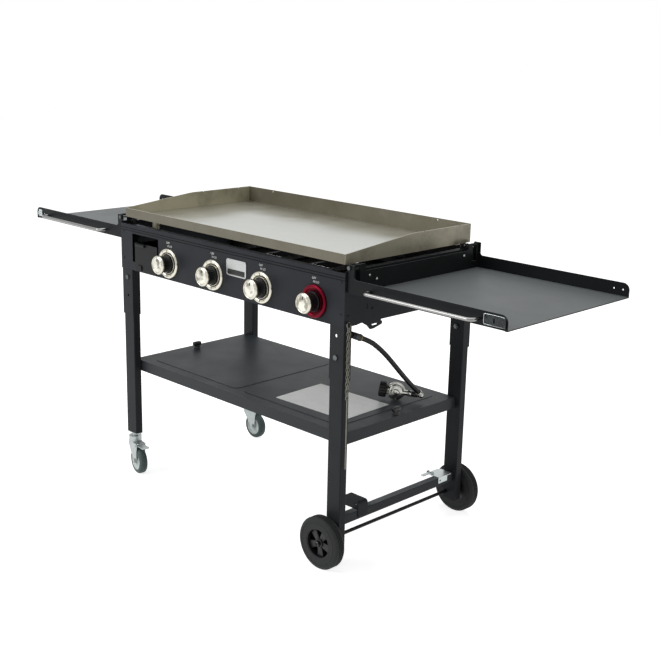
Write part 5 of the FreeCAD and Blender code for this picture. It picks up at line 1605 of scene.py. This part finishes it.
@dataclass
class VentHoods:
    """Pressed hoods over the vent slots of the rear sheet, open at the foot."""

    palette: Palette
    count: int = 10
    pitch: float = 0.080
    half_width: float = 0.0275
    sheet_y: float = 0.261
    depth: float = 0.0065
    foot: float = 0.734
    head: float = 0.757
    wall: float = 0.0012
    hollow: float = 0.013

    def hood(self, x: float) -> bmesh.types.BMesh:
        """Make one hood.

        Args:
            x: Its middle.

        Returns:
            The hood: a sloping front, two cheeks and a hollow foot.
        """
        shape = block((x - self.half_width, self.sheet_y, self.foot),
                      (x + self.half_width, self.sheet_y + self.depth, self.head))
        for vert in shape.verts:
            if vert.co.z > self.head - 0.001 and vert.co.y > self.sheet_y + 0.001:
                vert.co.y = self.sheet_y + 0.0015
                vert.co.z -= 0.001
        front = [e for e in shape.edges if all(v.co.y > self.sheet_y + 0.001 for v in e.verts)]
        bmesh.ops.bevel(shape, geom=front, offset=0.001, affect="EDGES", segments=3, profile=0.5, material=-1)
        foot = [f for f in shape.faces if f.normal.z < -0.9]
        bmesh.ops.inset_region(shape, faces=foot, thickness=self.wall, depth=0.0, use_even_offset=True)
        foot = [f for f in shape.faces if f.normal.z < -0.9 and f.calc_area() > self.half_width * self.depth]
        hollow = bmesh.ops.extrude_face_region(shape, geom=foot)["geom"]
        bmesh.ops.delete(shape, geom=foot, context="FACES_ONLY")
        for vert in (v for v in hollow if isinstance(v, bmesh.types.BMVert)):
            vert.co.z += self.hollow
            vert.co.y = self.sheet_y + 0.0014 + 0.1 * (vert.co.y - self.sheet_y)
        bmesh.ops.recalc_face_normals(shape, faces=shape.faces)
        return shape

    def build(self) -> list[bpy.types.Object]:
        """Build the row of hoods.

        Returns:
            Its pieces.
        """
        hoods = [self.hood((i - (self.count - 1) / 2) * self.pitch) for i in range(self.count)]
        piece = to_object("vent_hoods", joined(hoods), self.palette.rear_black, "stand")
        return [piece]


@dataclass
class HaspBead:
    """Pale rolled bead round the edge of the hasp's fixed plate, clear of the leaf that folds over it."""

    palette: Palette
    low: tuple[float, float] = (0.9102, 0.7637)
    high: tuple[float, float] = (0.9678, 0.7883)
    face_y: float = -0.2557
    corner: float = 0.002
    radius: float = 0.0007

    def build(self) -> list[bpy.types.Object]:
        """Build the bead as one closed wire that is half sunk in the plate.

        Returns:
            Its pieces.
        """
        (x0, z0), (x1, z1), c = self.low, self.high, self.corner
        outline = ((x0 + c, z0), (x1 - c, z0), (x1, z0 + c), (x1, z1 - c), (x1 - c, z1), (x0 + c, z1), (x0, z1 - c),
                   (x0, z0 + c))
        loop = wire([Vector((x, self.face_y, z)) for x, z in outline], self.radius, closed=True)
        piece = to_object("hasp_bead", loop, self.palette.zinc, "shelf_right", smooth_degrees=60.0)
        return [piece]


class Dressing:
    """Gives each CAD node that stays in sight its finish."""

    def __init__(self, palette: Palette) -> None:
        """Choose the finish of every node by its name.

        Args:
            palette: Every finish of the station.
        """
        p = palette
        self.rules: tuple[tuple[tuple[str, ...], bpy.types.Material], ...] = (
            (("griddle_plate",), p.plate),
            (("front_panel",), p.panel_black),
            (("side_panel_left", "side_panel_right"), p.sheet_black),
            (("rear_panel",), p.rear_black),
            (("burner_bearers",), p.soot_and_shade),
            (("grease_cup", "wheel_axle"), p.cup_black),
            (("side_shelf_left", "side_shelf_right"), p.tray_black),
            (("bottom_shelf",), p.shelf_black),
            (("leg_sleeves", "leg_front_left", "leg_front_right", "leg_rear_left", "leg_rear_right", "shelf_rails",
              "tank_bracket", "gas_manifold"), p.tube_black),
            (("bottom_rail",), p.rail_black),
            (("plate_feet",), p.plastic),
            (("burners",), p.stainless),
            (("gas_valves", "valve_stem_1", "valve_stem_2", "valve_stem_3", "valve_stem_4"), p.brass),
            (("towel_bar_left", "towel_bar_right"), p.rail),
            (("hasp_hook", "tank_clamp", "tank_clamp_lever"), p.zinc),
            (("caster_stems", "caster_fork_front", "caster_fork_rear", "brake_pedal"), p.fork_zinc),
            (("hinge_bolts", "leg_bolts"), p.dull_zinc),
            (("hasp_base", "hasp_leaf"), p.dark_zinc),
            (("care_sheet",), p.sheet),
        )

    def build(self) -> list[bpy.types.Object]:
        """Assign the finishes.

        Returns:
            The nodes that are dressed.
        """
        dressed = []
        for names, material in self.rules:
            for name in names:
                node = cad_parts[name]
                for holder in node.material_slots:
                    holder.material = material
                dressed.append(node)
        return dressed


# Studio


@dataclass
class Studio:
    """White floor, soft lamps and the camera at the photograph's place."""

    place: tuple[float, float, float] = (2.4000, -2.2490, 1.3992)
    yaw: float = 44.743
    pitch: float = 14.985
    roll: float = 1.291
    focal_pixels: float = 1133.8
    image_pixels: float = 660.0
    centre: tuple[float, float] = (329.47, 330.59)
    sensor_mm: float = 36.0
    floor_radius: float = 14.0
    floor_glow: float = 0.78
    surround: float = 0.32
    key_place: tuple[float, float, float] = (-1.6, -3.2, 2.9)
    key_target: tuple[float, float, float] = (0, 0, 0.6)
    key_size: float = 2.4
    key_power: float = 88.0
    top_place: tuple[float, float, float] = (0.0, 0.4, 3.6)
    top_target: tuple[float, float, float] = (0, 0, 0.5)
    top_size: float = 3.0
    top_power: float = 50.0

    def camera(self) -> None:
        """Put the camera where the photograph was taken."""
        yaw, pitch, roll = (math.radians(v) for v in (self.yaw, self.pitch, self.roll))
        forward = Vector((-math.sin(yaw) * math.cos(pitch), math.cos(yaw) * math.cos(pitch), -math.sin(pitch)))
        level = Vector((math.cos(yaw), math.sin(yaw), 0.0))
        upward = level.cross(forward)
        right = math.cos(roll) * level + math.sin(roll) * upward
        top = -math.sin(roll) * level + math.cos(roll) * upward
        data = bpy.data.cameras.new("photo_camera")
        data.sensor_width = self.sensor_mm
        data.lens = self.focal_pixels / self.image_pixels * self.sensor_mm
        data.shift_x = (self.image_pixels / 2 - self.centre[0]) / self.image_pixels
        data.shift_y = (self.centre[1] - self.image_pixels / 2) / self.image_pixels
        data.clip_end = 60.0
        camera = bpy.data.objects.new("photo_camera", data)
        bpy.context.scene.collection.objects.link(camera)
        camera.matrix_world = Matrix((
            (right.x, top.x, -forward.x, self.place[0]),
            (right.y, top.y, -forward.y, self.place[1]),
            (right.z, top.z, -forward.z, self.place[2]),
            (0, 0, 0, 1)))
        bpy.context.scene.camera = camera

    def floor(self) -> None:
        """Lay the white floor, which looks plain white wherever no shadow falls."""
        material = bpy.data.materials.new("studio_floor")
        material.use_nodes = True
        tree = material.node_tree
        tree.nodes.clear()
        matt = add_node(tree, "ShaderNodeBsdfDiffuse", links={"Color": linear_colour("#f4f4f4")})
        glow = add_node(tree, "ShaderNodeEmission", links={"Color": (1, 1, 1, 1), "Strength": self.floor_glow})
        both = add_node(tree, "ShaderNodeAddShader", links={0: matt.outputs[0], 1: glow.outputs[0]})
        rays = add_node(tree, "ShaderNodeLightPath")
        seen = add_node(tree, "ShaderNodeMath", {"operation": "MAXIMUM"},
                        {0: rays.outputs["Is Camera Ray"], 1: rays.outputs["Is Glossy Ray"]})
        choice = add_node(tree, "ShaderNodeMixShader", links={
            0: seen.outputs[0], 1: matt.outputs[0], 2: both.outputs[0]})
        add_node(tree, "ShaderNodeOutputMaterial", links={"Surface": choice.outputs[0]})
        shape = bmesh.new()
        bmesh.ops.create_circle(shape, cap_ends=True, segments=64, radius=self.floor_radius)
        mesh = bpy.data.meshes.new("studio_floor")
        shape.to_mesh(mesh)
        shape.free()
        mesh.materials.append(material)
        floor = bpy.data.objects.new("studio_floor", mesh)
        bpy.context.scene.collection.objects.link(floor)

    def world(self) -> None:
        """Make the surroundings white to the eye and in reflections, and softer as light."""
        world = bpy.data.worlds.new("studio")
        world.use_nodes = True
        bpy.context.scene.world = world
        tree = world.node_tree
        tree.nodes.clear()
        rays = add_node(tree, "ShaderNodeLightPath")
        seen = add_node(tree, "ShaderNodeMath", {"operation": "MAXIMUM"},
                        {0: rays.outputs["Is Camera Ray"], 1: rays.outputs["Is Glossy Ray"]})
        clear = add_node(tree, "ShaderNodeMath", {"operation": "MAXIMUM"},
                         {0: seen.outputs[0], 1: rays.outputs["Is Transmission Ray"]})
        lit = add_node(tree, "ShaderNodeBackground", links={"Color": (1, 1, 1, 1), "Strength": self.surround})
        white = add_node(tree, "ShaderNodeBackground", links={"Color": (1, 1, 1, 1), "Strength": 1.0})
        choice = add_node(tree, "ShaderNodeMixShader", links={
            0: clear.outputs[0], 1: lit.outputs[0], 2: white.outputs[0]})
        add_node(tree, "ShaderNodeOutputWorld", links={"Surface": choice.outputs[0]})

    def lamp(self, name: str, place: Sequence[float], target: Sequence[float], size: float, power: float) -> None:
        """Hang a square soft lamp.

        Args:
            name: Its name.
            place: Where it hangs.
            target: The point that it faces.
            size: Its side in metres.
            power: Its power in watts.
        """
        data = bpy.data.lights.new(name, "AREA")
        data.shape = "SQUARE"
        data.size = size
        data.energy = power
        lamp = bpy.data.objects.new(name, data)
        bpy.context.scene.collection.objects.link(lamp)
        direction = Vector(target) - Vector(place)
        lamp.matrix_world = Matrix.Translation(place) @ direction.to_track_quat("-Z", "Y").to_matrix().to_4x4()

    def build(self) -> None:
        """Set up the whole studio."""
        self.camera()
        self.floor()
        self.world()
        self.lamp("key", self.key_place, self.key_target, self.key_size, self.key_power)
        self.lamp("top", self.top_place, self.top_target, self.top_size, self.top_power)
        bpy.context.scene.view_settings.view_transform = "Standard"


def main() -> None:
    """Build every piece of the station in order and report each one."""
    logging.basicConfig(level=logging.INFO, format="%(name)s %(message)s")
    Studio().build()
    palette = Palette()
    fittings = Regulator(palette).build()
    pieces = fittings + GasHose(palette).build(fittings) + Dressing(palette).build()
    for assembly in (Knobs, Badge, RearWheels, CasterWheels, LightingRod, ManifoldCrimp, ShelfLatches, Fasteners,
                     VentHoods, HaspBead):
        pieces += assembly(palette).build()
    for piece in pieces:
        log.info("%s is in place", piece.name)


if __name__ == "__main__":
    main()
